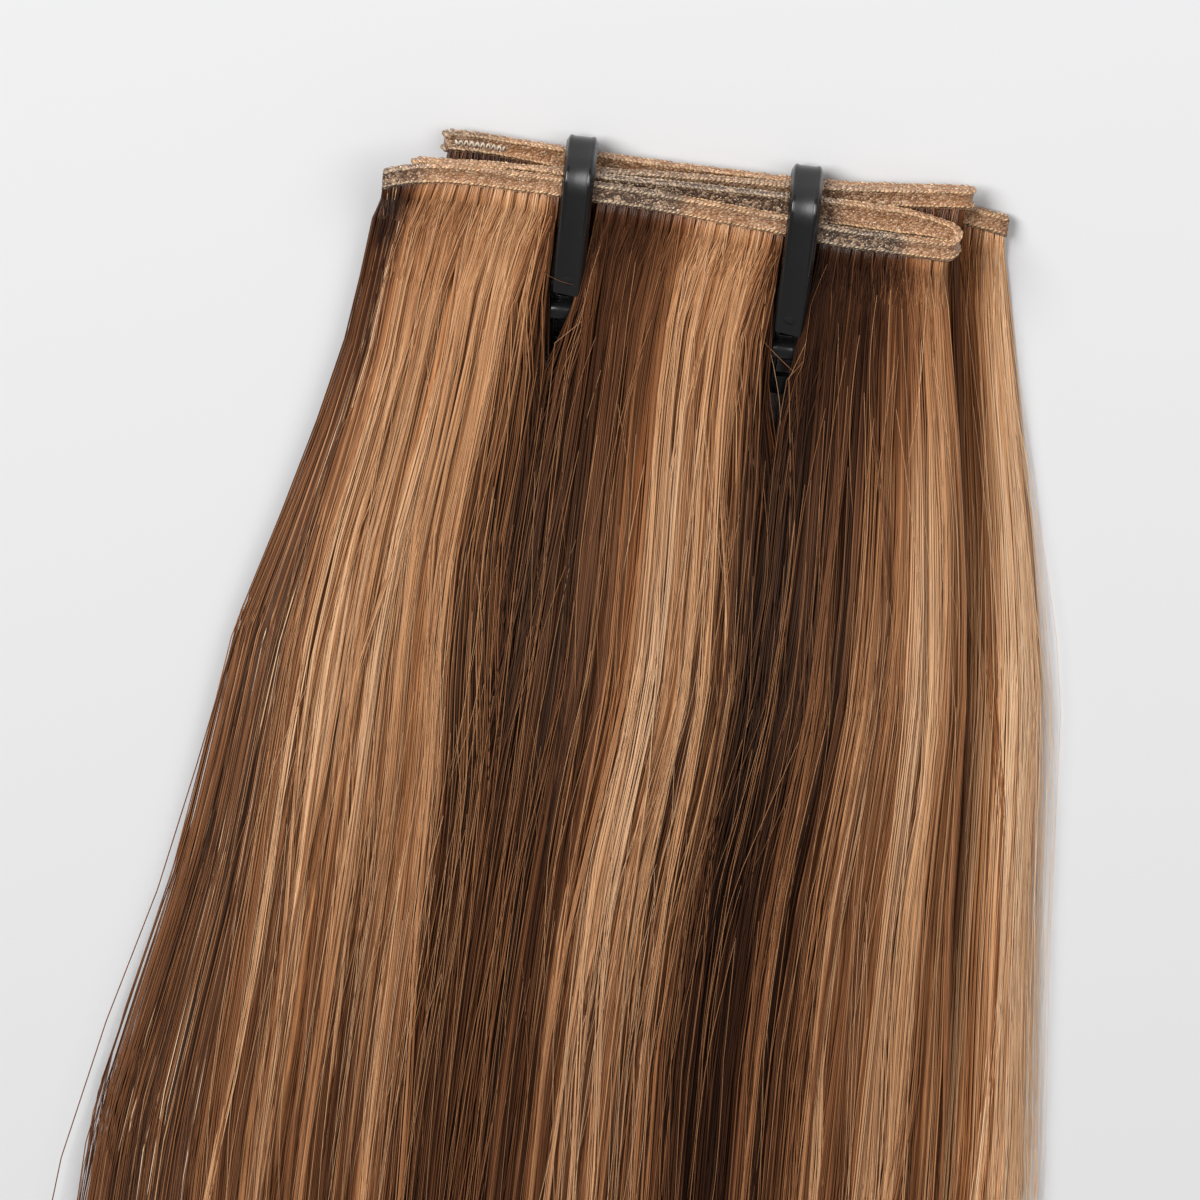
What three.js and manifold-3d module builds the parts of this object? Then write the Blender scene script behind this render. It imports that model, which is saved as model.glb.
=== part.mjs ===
// Weft hair extension. One long thin band with hair sewn along its lower edge is folded into five
// flat layers. Two black plastic clips hold the folds together. The bundle lies on a flat surface.
// Millimetres, +Z up. X runs along the band, and the hair points to -Y.
import * as THREE from "three";
import { mergeVertices } from "three/addons/utils/BufferGeometryUtils.js";
import Module from "manifold-3d";

const wasm = await Module();
wasm.setup();

// Driving dimensions
const BAND = { height: 4.4, thickness: 1.1, chamfer: 0.25, foldSteps: 6 };
const CLIP = {
  width: 5.8,
  draft: 0.4, // each side leans in by this much towards the outer face
  thickness: 1.6,
  rimWidth: 0.7,
  rimHeight: 0.3,
  twist: THREE.MathUtils.degToRad(9), // the front of the strap is turned a little to the left
  twistHeldTo: 28, // distances along the strap from the pad's end
  twistGoneBy: 42,
};
const HAIR = {
  length: 500,
  shortestShare: 0.88, // length of the shortest lock as a share of the longest
  rootGap: 0.3, // between the band's lower edge and the hair solid
  rootThickness: 1.0,
  foldShare: 0.4, // how far the hair reaches into a fold, as a share of its radius
  layerGap: 0.6, // between two layers that lie on one another
  lockOverlap: 0.8, // each lock reaches this far past its edge, into its neighbour
  lockRelief: 0.12, // how far a lock stands above or below its layer
  sway: 1.6, // sideways wander of the edge between two locks
  edgeThinning: 0.4, // share of the depth that is lost at the outer edges of the bundle
};
// The hair stands clear of each clip and closes again below it. The top layer closes over the
// clip's tail, and the lower ones past its end.
const PARTING = {
  halfWidth: 3.4,
  upperLayers: 1,
  upperStart: 26,
  upperEnd: 46,
  lowerStart: 46,
  lowerEnd: 75,
};

// One row for each layer of the folded band, from the top of the stack down. leftZ and rightZ are
// the middle of its thickness at its two ends, locks the number of locks left of, between and right
// of the clips, and edge the x and y of places along its upper edge from end to end.
const LAYERS = [
  {
    leftZ: 13.6,
    rightZ: 13.6,
    locks: [4, 5, 4],
    edge: [[-55.5, -1.2], [-51, 0.8], [-44, 1.9], [-35, 2], [-8, 1.2], [18, -1.3], [28, -2.6], [47.2, -3.1]],
  },
  {
    leftZ: 12.2,
    rightZ: 10.2,
    locks: [3, 3, 2],
    edge: [[-49, 1.3], [-35, 2.1], [-17, 1.9], [17, 1.6], [30, 1.3], [38, 0.8], [43, 0], [47.2, -1.4]],
  },
  {
    leftZ: 10.2,
    rightZ: 6.2,
    locks: [2, 3, 2],
    edge: [[-49, -1], [-35, -0.2], [-17, 1.1], [0, 1.6], [23, 1.6], [37, 2.5], [49.6, 3.5]],
  },
  {
    leftZ: 4.5,
    rightZ: 4.5,
    locks: [2, 3, 2],
    edge: [[-44, 2.4], [-40, 2.7], [-33, 2.1], [-17, 1.3], [-2, 0.8], [16, 0.5], [30, 0.9], [49.6, 2.9]],
  },
  {
    leftZ: 2.45,
    rightZ: 2.45,
    locks: [3, 3, 3],
    edge: [[-44, 0.3], [-24, -0.1], [0, -1], [20, -1.6], [40, -2], [52, -3.2], [58, -4.6]],
  },
];
const SAG = { depth: 0.3, startX: 17.5, reach: 40 }; // the layers hang a little outside the clips

// One row for each station down the hair. drop is the distance below y = 0, spreadLeft and
// spreadRight how far the hair has fanned out on each side beside its width at the band, and pitch
// the depth that one layer takes.
const STATIONS = [
  { drop: 12, spreadLeft: 1.0, spreadRight: 1.02, pitch: 2.5 },
  { drop: 26, spreadLeft: 1.02, spreadRight: 1.07, pitch: 2.5 },
  { drop: 46, spreadLeft: 1.07, spreadRight: 1.14, pitch: 2.45 },
  { drop: 75, spreadLeft: 1.17, spreadRight: 1.24, pitch: 2.35 },
  { drop: 120, spreadLeft: 1.345, spreadRight: 1.365, pitch: 2.15 },
  { drop: 180, spreadLeft: 1.5, spreadRight: 1.45, pitch: 1.95 },
  { drop: 250, spreadLeft: 1.69, spreadRight: 1.57, pitch: 1.75 },
  { drop: 330, spreadLeft: 1.81, spreadRight: 1.63, pitch: 1.55 },
  { drop: 415, spreadLeft: 1.78, spreadRight: 1.6, pitch: 1.35 },
  { drop: 500, spreadLeft: 1.66, spreadRight: 1.5, pitch: 1.15 },
];
const SETTLE = { startDrop: 4, endDrop: 22 }; // where hair sinks from the band on to the stack
const TIP = { reach: 55, widthShare: 0.4, thickness: 0.5 }; // the tapered end of a lock

// One row for each clip. x is its middle, back how far its bend is moved down, and drop how much
// further its lower parts reach down.
const CLIPS = [
  { name: "clip_left", x: -20.4, back: 0, drop: 0 },
  { name: "clip_right", x: 20.6, back: 0.9, drop: 3.4 },
];

// Side view of a clip's strap, as corners of its centre line with the radius of each bend. It
// starts at the pad, runs up the front, round the back of the stack and ends in the tail.
const CLIP_CORNERS = [
  { y: -26.0, z: 11.0, radius: 0 },
  { y: -6.5, z: 15.7, radius: 12 },
  { y: 4.4, z: 15.7, radius: 4.5 },
  { y: 4.4, z: 0.8, radius: 6.5 },
  { y: -6.5, z: 0.8, radius: 4 },
  { y: -15.0, z: 7.6, radius: 5 },
  { y: -45.0, z: 4.8, radius: 0 },
];
const PAD = { length: 17.4, extraDepth: 0.5, panelDepth: 0.12 };
const TAIL = { length: 28, width: 4.6 };
const LUG = { radius: 1.9, length: 5.6, fromEnd: 12.2, rise: 1.5, sides: 14 }; // the round cross bar
const TAIL_WINDOWS = [
  { fromEnd: 16.4, length: 3.2, width: 2.6 },
  { fromEnd: 6.6, length: 4.6, width: 2.6 },
];
const BEND_STEPS = 7;

const finish = (color, roughness) => new THREE.MeshStandardMaterial({ color, roughness, metalness: 0 });
const hairMaterial = finish(0x8f5c38, 0.4);
const bandMaterial = finish(0xb58759, 0.35);
const clipMaterial = finish(0x0d0d0e, 0.3);

const lerp = THREE.MathUtils.lerp;
const smooth = THREE.MathUtils.smoothstep;

// The same number from 0 to 1 each time for the same seed
function scatter(seed) {
  const wave = Math.sin(seed * 12.9898) * 43758.5453;
  return wave - Math.floor(wave);
}

// A closed skin over a row of rings. The outline gives the rings' shape, anticlockwise about the
// way that the row runs.
function skinOf(rings, outline) {
  const count = outline.length;
  const last = (rings.length - 1) * count;
  const index = [];
  for (let start = 0; start < last; start += count) {
    for (let i = 0; i < count; i++) {
      const j = (i + 1) % count;
      index.push(start + i, start + j, start + count + j);
      index.push(start + i, start + count + j, start + count + i);
    }
  }
  for (const [a, b, c] of THREE.ShapeUtils.triangulateShape(outline, [])) {
    index.push(a, c, b);
    index.push(last + a, last + b, last + c);
  }
  const geometry = new THREE.BufferGeometry();
  const position = rings.flat().flatMap((point) => point.toArray());
  geometry.setAttribute("position", new THREE.Float32BufferAttribute(position, 3));
  geometry.setIndex(index);
  return geometry;
}

function solidOf(geometry) {
  const bare = geometry.clone().deleteAttribute("normal").deleteAttribute("uv");
  const merged = mergeVertices(bare);
  return new wasm.Manifold(
    new wasm.Mesh({
      numProp: 3,
      vertProperties: new Float32Array(merged.attributes.position.array),
      triVerts: new Uint32Array(merged.index.array),
    }),
  );
}

function geometryOf(solid) {
  const mesh = solid.getMesh();
  const geometry = new THREE.BufferGeometry();
  geometry.setAttribute("position", new THREE.Float32BufferAttribute(mesh.vertProperties, 3));
  geometry.setIndex([...mesh.triVerts]);
  return geometry;
}

function namedMesh(name, geometry, material) {
  geometry.computeVertexNormals();
  const mesh = new THREE.Mesh(geometry, material);
  mesh.name = name;
  return mesh;
}

// Band

const leftX = ({ edge }) => edge[0][0];
const rightX = ({ edge }) => edge.at(-1)[0];

// How far the upper edge of a layer stands above y = 0
function riseAt({ edge }, x) {
  const after = edge.findIndex(([place]) => place >= x);
  if (after < 0) return edge.at(-1)[1];
  if (after === 0) return edge[0][1];
  const [[x0, y0], [x1, y1]] = [edge[after - 1], edge[after]];
  return lerp(y0, y1, (x - x0) / (x1 - x0));
}

// The middle of a layer's thickness
function heightAt(layer, x) {
  const share = THREE.MathUtils.clamp((x - leftX(layer)) / (rightX(layer) - leftX(layer)), 0, 1);
  const sag = SAG.depth * THREE.MathUtils.clamp((Math.abs(x) - SAG.startX) / SAG.reach, 0, 1);
  return lerp(layer.leftZ, layer.rightZ, share) - sag;
}

// Half the height between two layers at the end where they meet in a fold
function foldRadius(layer, next, onRight) {
  return Math.abs(onRight ? layer.rightZ - next.rightZ : layer.leftZ - next.leftZ) / 2;
}

// The centre line of the folded band. Odd layers run to the right and even ones to the left, with
// a half turn between each layer and the next. Every step has its place, upper edge and heading.
function bandSteps() {
  const steps = [];
  LAYERS.forEach((layer, i) => {
    const toRight = i % 2 === 0;
    for (const [x, rise] of toRight ? layer.edge : layer.edge.toReversed()) {
      steps.push({ x, z: heightAt(layer, x), rise, heading: toRight ? 0 : Math.PI });
    }
    const next = LAYERS[i + 1];
    if (!next) return;
    const foldX = toRight ? rightX(layer) : leftX(layer);
    const side = toRight ? 1 : -1;
    const radius = foldRadius(layer, next, toRight);
    for (let s = 1; s < BAND.foldSteps; s++) {
      const turn = (Math.PI * s) / BAND.foldSteps;
      steps.push({
        x: foldX + side * radius * Math.sin(turn),
        z: heightAt(layer, foldX) - radius + radius * Math.cos(turn),
        rise: lerp(riseAt(layer, foldX), riseAt(next, foldX), s / BAND.foldSteps),
        heading: toRight ? -turn : Math.PI + turn,
      });
    }
  });
  return steps;
}

function chamferedBox(width, depth, chamfer) {
  const w = width / 2;
  const d = depth / 2;
  return [
    new THREE.Vector2(-w + chamfer, -d),
    new THREE.Vector2(w - chamfer, -d),
    new THREE.Vector2(w, -d + chamfer),
    new THREE.Vector2(w, d - chamfer),
    new THREE.Vector2(w - chamfer, d),
    new THREE.Vector2(-w + chamfer, d),
    new THREE.Vector2(-w, d - chamfer),
    new THREE.Vector2(-w, -d + chamfer),
  ];
}

function weftBand() {
  const outline = chamferedBox(BAND.height, BAND.thickness, BAND.chamfer);
  const rings = bandSteps().map((step) => {
    const middleY = step.rise - BAND.height / 2;
    const across = { x: -Math.sin(step.heading), z: Math.cos(step.heading) };
    return outline.map(
      (p) => new THREE.Vector3(step.x + across.x * p.y, middleY + p.x, step.z + across.z * p.y),
    );
  });
  return namedMesh("weft_band", skinOf(rings, outline), bandMaterial);
}

// Hair

function stationAt(drop) {
  const after = STATIONS.findIndex((row) => row.drop >= drop);
  if (after <= 0) return STATIONS[0];
  const [a, b] = [STATIONS[after - 1], STATIONS[after]];
  const share = (drop - a.drop) / (b.drop - a.drop);
  return {
    drop,
    spreadLeft: lerp(a.spreadLeft, b.spreadLeft, share),
    spreadRight: lerp(a.spreadRight, b.spreadRight, share),
    pitch: lerp(a.pitch, b.pitch, share),
  };
}

// The outer ends of a layer's hair, which reach a little way into its folds
function hairEnds(i) {
  const layer = LAYERS[i];
  const toRight = i % 2 === 0;
  const fold = (other, onRight) => (other ? HAIR.foldShare * foldRadius(layer, other, onRight) : 0);
  return {
    left: leftX(layer) - fold(LAYERS[toRight ? i - 1 : i + 1], false),
    right: rightX(layer) + fold(LAYERS[toRight ? i + 1 : i - 1], true),
  };
}

// The edges between a layer's locks. An edge at a parting says which clip it parts for.
function lockEdges(i) {
  const { left, right } = hairEnds(i);
  const gap = PARTING.halfWidth;
  const [leftClip, rightClip] = CLIPS;
  const panels = [
    { from: left, to: leftClip.x - gap, fromClip: null, toClip: leftClip },
    { from: leftClip.x + gap, to: rightClip.x - gap, fromClip: leftClip, toClip: rightClip },
    { from: rightClip.x + gap, to: right, fromClip: rightClip, toClip: null },
  ];
  const locks = [];
  panels.forEach((panel, p) => {
    const count = LAYERS[i].locks[p];
    for (let k = 0; k < count; k++) {
      const edge = (n) => ({
        x: lerp(panel.from, panel.to, n / count),
        clip: n === 0 ? panel.fromClip : n === count ? panel.toClip : null,
        inner: n > 0 && n < count,
        seed: i * 40 + p * 12 + n,
      });
      locks.push({ left: edge(k), right: edge(k + 1), seed: i * 40 + p * 12 + k });
    }
  });
  return locks;
}

// How far across a lock's edge is at a station. Edges at a clip run straight past it and then close.
function edgeX(edge, station, isUpper) {
  const fanned = (x) => x * (x < 0 ? station.spreadLeft : station.spreadRight);
  if (edge.clip) {
    const start = isUpper ? PARTING.upperStart : PARTING.lowerStart;
    const end = isUpper ? PARTING.upperEnd : PARTING.lowerEnd;
    return lerp(edge.x, fanned(edge.clip.x), smooth(station.drop - edge.clip.drop, start, end));
  }
  const wander = edge.inner ? HAIR.sway * smooth(station.drop, 20, 120) : 0;
  return fanned(edge.x) + wander * Math.sin(station.drop / 70 + 6.3 * scatter(edge.seed));
}

// Height in the lying stack. Level 0 is the surface that it lies on, and each layer is one level.
function stackZ(x, station, level) {
  const onLeft = leftX(LAYERS[0]) * station.spreadLeft;
  const onRight = rightX(LAYERS.at(-1)) * station.spreadRight;
  const outer = x < 0 ? onLeft : onRight;
  return level * station.pitch * (1 - HAIR.edgeThinning * Math.min(1, x / outer) ** 4);
}

// One lock as a lens-shaped bar that fans out, settles on the stack and ends in a tapered tip
function lockSolid(i, lock) {
  const layer = LAYERS[i];
  const isUpper = i < PARTING.upperLayers;
  const isLowest = i === LAYERS.length - 1;
  const level = LAYERS.length - i - 0.5;
  const relief = HAIR.lockRelief * (2 * scatter(lock.seed + 7) - 1);
  const length = HAIR.length * lerp(HAIR.shortestShare, 1, scatter(lock.seed + 3));
  const root = { ...STATIONS[0], drop: 0 };
  const body = STATIONS.filter((row) => row.drop < length - TIP.reach);
  const neck = stationAt(length - TIP.reach);
  const stations = [root, ...body, neck, { ...stationAt(length), isTip: true }];

  const rings = stations.map((station) => {
    const onBand = station.drop === 0;
    const overlap = onBand ? 0.2 : HAIR.lockOverlap;
    const past = (edge) => {
      if (edge.clip) return overlap * smooth(station.drop, PARTING.upperEnd, PARTING.lowerEnd);
      return edge.inner ? overlap : 0;
    };
    const left = edgeX(lock.left, station, isUpper) - past(lock.left);
    const right = edgeX(lock.right, station, isUpper) + past(lock.right);
    const middle = (left + right) / 2;
    const widthShare = station.isTip ? TIP.widthShare : 1;
    const half = ((right - left) / 2) * widthShare;
    const settled = onBand ? 0 : smooth(station.drop, SETTLE.startDrop, SETTLE.endDrop);
    const fullDepth = station.isTip ? TIP.thickness : station.pitch - HAIR.layerGap;
    const depth = lerp(HAIR.rootThickness, fullDepth, settled);

    return LOCK_OUTLINE.map((p) => {
      const x = middle + p.x * half;
      const lying = stackZ(x, station, level) + relief;
      const lowest = isLowest && p.y < 0;
      const offset = (depth / 2) * p.y;
      const free = lerp(heightAt(layer, x), lying, settled) + offset;
      const z = lowest ? lerp(heightAt(layer, x) + offset, 0, settled) : free;
      const y = onBand ? riseAt(layer, x) - BAND.height - HAIR.rootGap : -station.drop;
      return new THREE.Vector3(x, y, z);
    });
  });
  return solidOf(skinOf(rings, LOCK_OUTLINE));
}

const LOCK_OUTLINE = [
  new THREE.Vector2(-1, 0),
  new THREE.Vector2(-0.5, -1),
  new THREE.Vector2(0.5, -1),
  new THREE.Vector2(1, 0),
  new THREE.Vector2(0.5, 1),
  new THREE.Vector2(-0.5, 1),
];

function hairLayer(i) {
  const solids = lockEdges(i).map((lock) => lockSolid(i, lock));
  const fused = solids.reduce((all, one) => all.add(one));
  return namedMesh(`hair_layer_${i + 1}`, geometryOf(fused), hairMaterial);
}

// Clips

// Points along a line with rounded corners, each with its distance and its heading
function roundedLine(corners) {
  const points = [];
  corners.forEach((corner, i) => {
    const here = new THREE.Vector2(corner.y, corner.z);
    if (i === 0 || i === corners.length - 1) {
      points.push(here);
      return;
    }
    const back = new THREE.Vector2(corners[i - 1].y, corners[i - 1].z).sub(here).normalize();
    const on = new THREE.Vector2(corners[i + 1].y, corners[i + 1].z).sub(here).normalize();
    const half = Math.acos(back.dot(on)) / 2;
    const reach = corner.radius / Math.tan(half);
    const inward = back.clone().add(on).normalize();
    const middle = here.clone().addScaledVector(inward, corner.radius / Math.sin(half));
    const from = here.clone().addScaledVector(back, reach).sub(middle);
    const sweep = Math.PI - 2 * half;
    const sense = Math.sign(back.clone().negate().cross(on));
    for (let s = 0; s <= BEND_STEPS; s++) {
      const turned = from.clone().rotateAround(new THREE.Vector2(), (sense * sweep * s) / BEND_STEPS);
      points.push(turned.add(middle));
    }
  });
  return points;
}

// The line with extra points at these distances from its start, so that the section can step there
function withStops(points, stops) {
  const line = [];
  let travelled = 0;
  points.forEach((point, i) => {
    if (i > 0) {
      const before = points[i - 1];
      const stretch = point.distanceTo(before);
      for (const stop of stops) {
        const share = (stop - travelled) / stretch;
        if (share > 0 && share < 1) {
          line.push({ at: stop, point: before.clone().lerp(point, share) });
        }
      }
      travelled += stretch;
    }
    line.push({ at: travelled, point });
  });
  return line;
}

// The strap's section, with a raised rim along each side of its outer face
function strapOutline(width, rimHeight, extraDepth) {
  const inner = width / 2;
  const outer = inner - CLIP.draft;
  const depth = CLIP.thickness / 2;
  const rim = outer - CLIP.rimWidth;
  const panel = rim - 0.2;
  return [
    new THREE.Vector2(-outer, -depth),
    new THREE.Vector2(-rim, -depth),
    new THREE.Vector2(-panel, -depth + rimHeight),
    new THREE.Vector2(panel, -depth + rimHeight),
    new THREE.Vector2(rim, -depth),
    new THREE.Vector2(outer, -depth),
    new THREE.Vector2(inner, depth + extraDepth),
    new THREE.Vector2(-inner, depth + extraDepth),
  ];
}

function clipSolid(clip) {
  const step = 0.15; // length of the slope where the section changes
  const lowered = CLIP_CORNERS.map((row) => ({ ...row, y: row.y - (row.y < 0 ? clip.drop : clip.back) }));
  const corners = roundedLine(lowered);
  const total = corners.reduce((sum, p, i) => sum + (i ? p.distanceTo(corners[i - 1]) : 0), 0);
  const tailStart = total - TAIL.length;
  const line = withStops(corners, [PAD.length, PAD.length + step, tailStart, tailStart + step]);
  const middle = new THREE.Vector2();
  const rings = line.map(({ at, point }, i) => {
    const before = line[Math.max(0, i - 1)].point;
    const after = line[Math.min(line.length - 1, i + 1)].point;
    const heading = after.clone().sub(before).normalize();
    const onPad = at <= PAD.length;
    const onTail = at > tailStart;
    const width = onTail ? TAIL.width : CLIP.width;
    const rimHeight = onPad || onTail ? PAD.panelDepth : CLIP.rimHeight;
    const turn = -CLIP.twist * (1 - smooth(at, CLIP.twistHeldTo, CLIP.twistGoneBy));
    // The inner side lies to the right of the heading: (y, z) turns to (z, -y)
    return strapOutline(width, rimHeight, onPad ? PAD.extraDepth : 0)
      .map((p) => p.rotateAround(middle, turn))
      .map((p) => new THREE.Vector3(p.x, point.x + heading.y * p.y, point.y - heading.x * p.y));
  });
  const strap = solidOf(skinOf(rings, strapOutline(CLIP.width, PAD.panelDepth, 0)));

  const end = line.at(-1).point;
  const along = end.clone().sub(line.at(-2).point).normalize();
  const onTailLine = (geometry, fromEnd, rise) =>
    geometry
      .translate(0, -fromEnd, -rise)
      .rotateX(Math.atan2(along.y, along.x))
      .translate(0, end.x, end.y);

  const bar = new THREE.CylinderGeometry(LUG.radius, LUG.radius, LUG.length, LUG.sides);
  const lug = solidOf(onTailLine(bar.rotateZ(Math.PI / 2), LUG.fromEnd, LUG.rise));
  const windows = TAIL_WINDOWS.map(({ fromEnd, length, width }) =>
    solidOf(onTailLine(new THREE.BoxGeometry(width, length, 3 * CLIP.thickness), fromEnd, 0)),
  );
  return windows.reduce((solid, window) => solid.subtract(window), strap).add(lug);
}

function clips() {
  return CLIPS.map((clip) => {
    const mesh = namedMesh(clip.name, geometryOf(clipSolid(clip)), clipMaterial);
    mesh.position.x = clip.x;
    return mesh;
  });
}

// Assembly, with its origin on the surface under the middle of the bundle

const bundle = new THREE.Group();
bundle.add(weftBand(), ...clips(), ...LAYERS.map((_, i) => hairLayer(i)));
const box = new THREE.Box3().setFromObject(bundle);
const middle = box.getCenter(new THREE.Vector3());
bundle.position.set(-middle.x, -middle.y, -box.min.z);

const part = new THREE.Group();
part.add(bundle);
export default part;
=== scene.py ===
import math

import bmesh
import bpy
import numpy as np
from mathutils import Matrix, Vector


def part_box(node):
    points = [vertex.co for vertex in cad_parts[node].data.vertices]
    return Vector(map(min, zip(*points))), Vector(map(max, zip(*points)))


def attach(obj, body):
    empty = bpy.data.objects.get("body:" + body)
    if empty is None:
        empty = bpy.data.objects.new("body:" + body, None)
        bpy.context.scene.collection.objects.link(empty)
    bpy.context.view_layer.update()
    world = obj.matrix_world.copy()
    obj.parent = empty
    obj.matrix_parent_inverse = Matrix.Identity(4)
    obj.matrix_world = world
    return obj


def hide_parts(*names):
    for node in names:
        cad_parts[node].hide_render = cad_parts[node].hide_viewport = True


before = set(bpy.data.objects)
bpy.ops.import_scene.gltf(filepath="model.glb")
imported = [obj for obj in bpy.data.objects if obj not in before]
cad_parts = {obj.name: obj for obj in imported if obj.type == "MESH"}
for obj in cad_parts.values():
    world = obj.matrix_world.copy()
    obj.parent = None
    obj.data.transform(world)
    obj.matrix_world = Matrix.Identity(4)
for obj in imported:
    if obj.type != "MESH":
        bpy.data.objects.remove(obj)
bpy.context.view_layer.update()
print("frame loaded")

# Sizes are millimetres in the band's own frame: x along the band, y = 0 near the upper edge of its
# first layer, hair towards -y, z = 0 on the floor. toRow turns them into metres in the row frame.
stack = {
    # x and y of places along the upper edge of each layer of the folded band, from the top down
    "edges": [
        [(-55.5, -1.2), (-51, 0.8), (-44, 1.9), (-35, 2), (-8, 1.2), (18, -1.3), (28, -2.6), (47.2, -3.1)],
        [(-49, 1.3), (-35, 2.1), (-17, 1.9), (17, 1.6), (30, 1.3), (38, 0.8), (43, 0), (47.2, -1.4)],
        [(-49, -1), (-35, -0.2), (-17, 1.1), (0, 1.6), (23, 1.6), (37, 2.5), (49.6, 3.5)],
        [(-44, 2.4), (-40, 2.7), (-33, 2.1), (-17, 1.3), (-2, 0.8), (16, 0.5), (30, 0.9), (49.6, 2.9)],
        [(-44, 0.3), (-24, -0.1), (0, -1), (20, -1.6), (40, -2), (52, -3.2), (58, -4.6)],
    ],
    "heights": [(13.6, 13.6), (12.2, 10.2), (10.2, 6.2), (4.5, 4.5), (2.45, 2.45)],  # left and right end
    "bandHeight": 4.4,
    "sagDepth": 0.3,
    "sagStart": 17.5,
    "sagReach": 40.0,
    "foldShare": 0.5,  # how far hair reaches into a fold
}
bandLow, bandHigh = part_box("weft_band")
home = np.array([bandLow.x + 0.0555, bandHigh.y - 0.0035, 0.0])

# each clip's middle, how far its bend is moved down, and how much further its lower parts reach
clipSpots = {"clip_left": (-20.4, 0.0, 0.0), "clip_right": (20.6, 0.9, 3.4)}

# how the hair fans out and thins towards the tips, at distances down from y = 0
fan = {
    "drop": [0, 12, 26, 46, 75, 120, 180, 250, 330, 415, 500],
    "left": [1.0, 1.0, 1.02, 1.06, 1.16, 1.355, 1.485, 1.72, 1.82, 1.79, 1.67],
    "right": [1.0, 1.0, 1.035, 1.1, 1.2, 1.33, 1.415, 1.54, 1.575, 1.54, 1.45],
    "pitch": [2.5, 2.5, 2.5, 2.45, 2.35, 2.15, 1.95, 1.75, 1.55, 1.35, 1.15],
    "leftEnd": 55.5,
    "rightEnd": 58.0,
    "innerShare": 0.35,  # the middle fans out less than the edges
    "leftPower": 8.0,
    "rightPower": 2.5,
    "edgeThinning": 0.4,
    "settle": (4.0, 22.0),  # where the hair sinks from the band on to the stack
    # it also sinks towards the parting under each clip
    "parting": 3.0,
    "valleyDepth": 2.4,
    "valleyWidth": 4.5,
    "valleyDrop": ((16.0, 45.0), (80.0, 220.0)),
    # the top layer's right edge sinks on to the lowest layer, and every layer droops at its outer edge
    "rightSink": 2.2,
    "rightSinkFrom": (40.0, 48.0),
    "rightSinkDrop": (30.0, 140.0),
    "edgeDroop": 0.35,
    "edgeDroopFrom": (0.86, 1.0),
}

# how far the hair also sways to the side: a row for each distance down, across places along the band
sway = {
    "share": [1.0, 0.3, 0.3, 0.3, 0.3],  # of each layer, from the top
    "x": [-55.5, -46, -25, -17, 2, 17, 24, 34, 46, 58],
    "drop": [0, 8, 15, 30, 52, 90, 120, 150, 165, 211, 330, 500],
    "shift": np.array([
        [0, 0, 0, 0, 0, 0, 0, 0, 0, 0],
        [0, -1.6, -0.2, -0.5, -0.6, -0.2, -0.4, -0.3, 0, 0],
        [0, -3, -1.7, -1.2, -1.7, -1.6, -0.9, -0.5, 0.3, 0],
        [0, -4.6, -3.6, -1.9, -3, -4, -1.7, -0.8, 1.2, 0],
        [0, -5.6, -4.4, -2.2, -3.4, -4.8, -1.8, -0.8, 2.6, 0],
        [0, -8.5, -6.3, -2.6, -2.2, -4.2, -2.2, -1, 3.8, 0],
        [0, -9, -5.5, -2.4, -2.2, -4.1, -3, -2, 3.8, 0],
        [0, -9.5, -4, -3, -4.8, -6.5, -5.6, -4.6, 3.4, 0],
        [0, -9.5, -4, -3.6, -6, -8.4, -7.5, -6, 3, 0],
        [0, -9, -4, -4.5, -7.1, -10.3, -9.5, -8, 3.4, 0],
        [0, -6.5, -3, -4, -6, -8, -7.5, -6.5, 3, 0],
        [0, -4, -2, -3, -4, -5, -4.5, -4, 2, 0],
    ]),
}
rng = np.random.default_rng(27)
phases = (0.0, 6.3)  # about a full turn, for where a wave starts
noLimit = -50.0  # half the width of a gap that pushes nothing aside


def toRow(points):
    return np.asarray(points, float) * 0.001 + home


def smoothStep(x, low, high):
    t = np.clip((x - low) / (high - low), 0, 1)
    return t * t * (3 - 2 * t)


def window(x, rise, fall):  # 1 between a rising and a falling edge
    return smoothStep(x, *rise) * (1 - smoothStep(x, *fall))


def mix(a, b, share):
    return a + (b - a) * share


def riseAt(layer, x):  # the edge line with its corners eased
    places, rises = zip(*stack["edges"][layer])
    ends = np.clip(x, places[0], places[-1])
    reach = np.minimum(np.minimum(ends - places[0], places[-1] - ends), 3.0)
    line = [np.interp(ends + step * reach, places, rises) for step in (-1, -0.5, 0, 0.5, 1)]
    return sum(line) / 5


def bandEnds(layer):
    return [stack["edges"][layer][0][0], stack["edges"][layer][-1][0]]


def heightAt(layer, x):
    sag = stack["sagDepth"] * np.clip((np.abs(x) - stack["sagStart"]) / stack["sagReach"], 0, 1)
    return np.interp(x, bandEnds(layer), stack["heights"][layer]) - sag


def foldRadius(layer, other, side):  # side 0 is the left end, 1 the right
    return abs(stack["heights"][layer][side] - stack["heights"][other][side]) / 2


def hairEnds(layer):
    ends = bandEnds(layer)
    for side, sense in ((0, -1), (1, 1)):
        other = layer + 1 if (layer % 2 == 0) == (side == 1) else layer - 1
        if 0 <= other < 5:
            ends[side] += sense * stack["foldShare"] * foldRadius(layer, other, side)
    return ends


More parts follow.
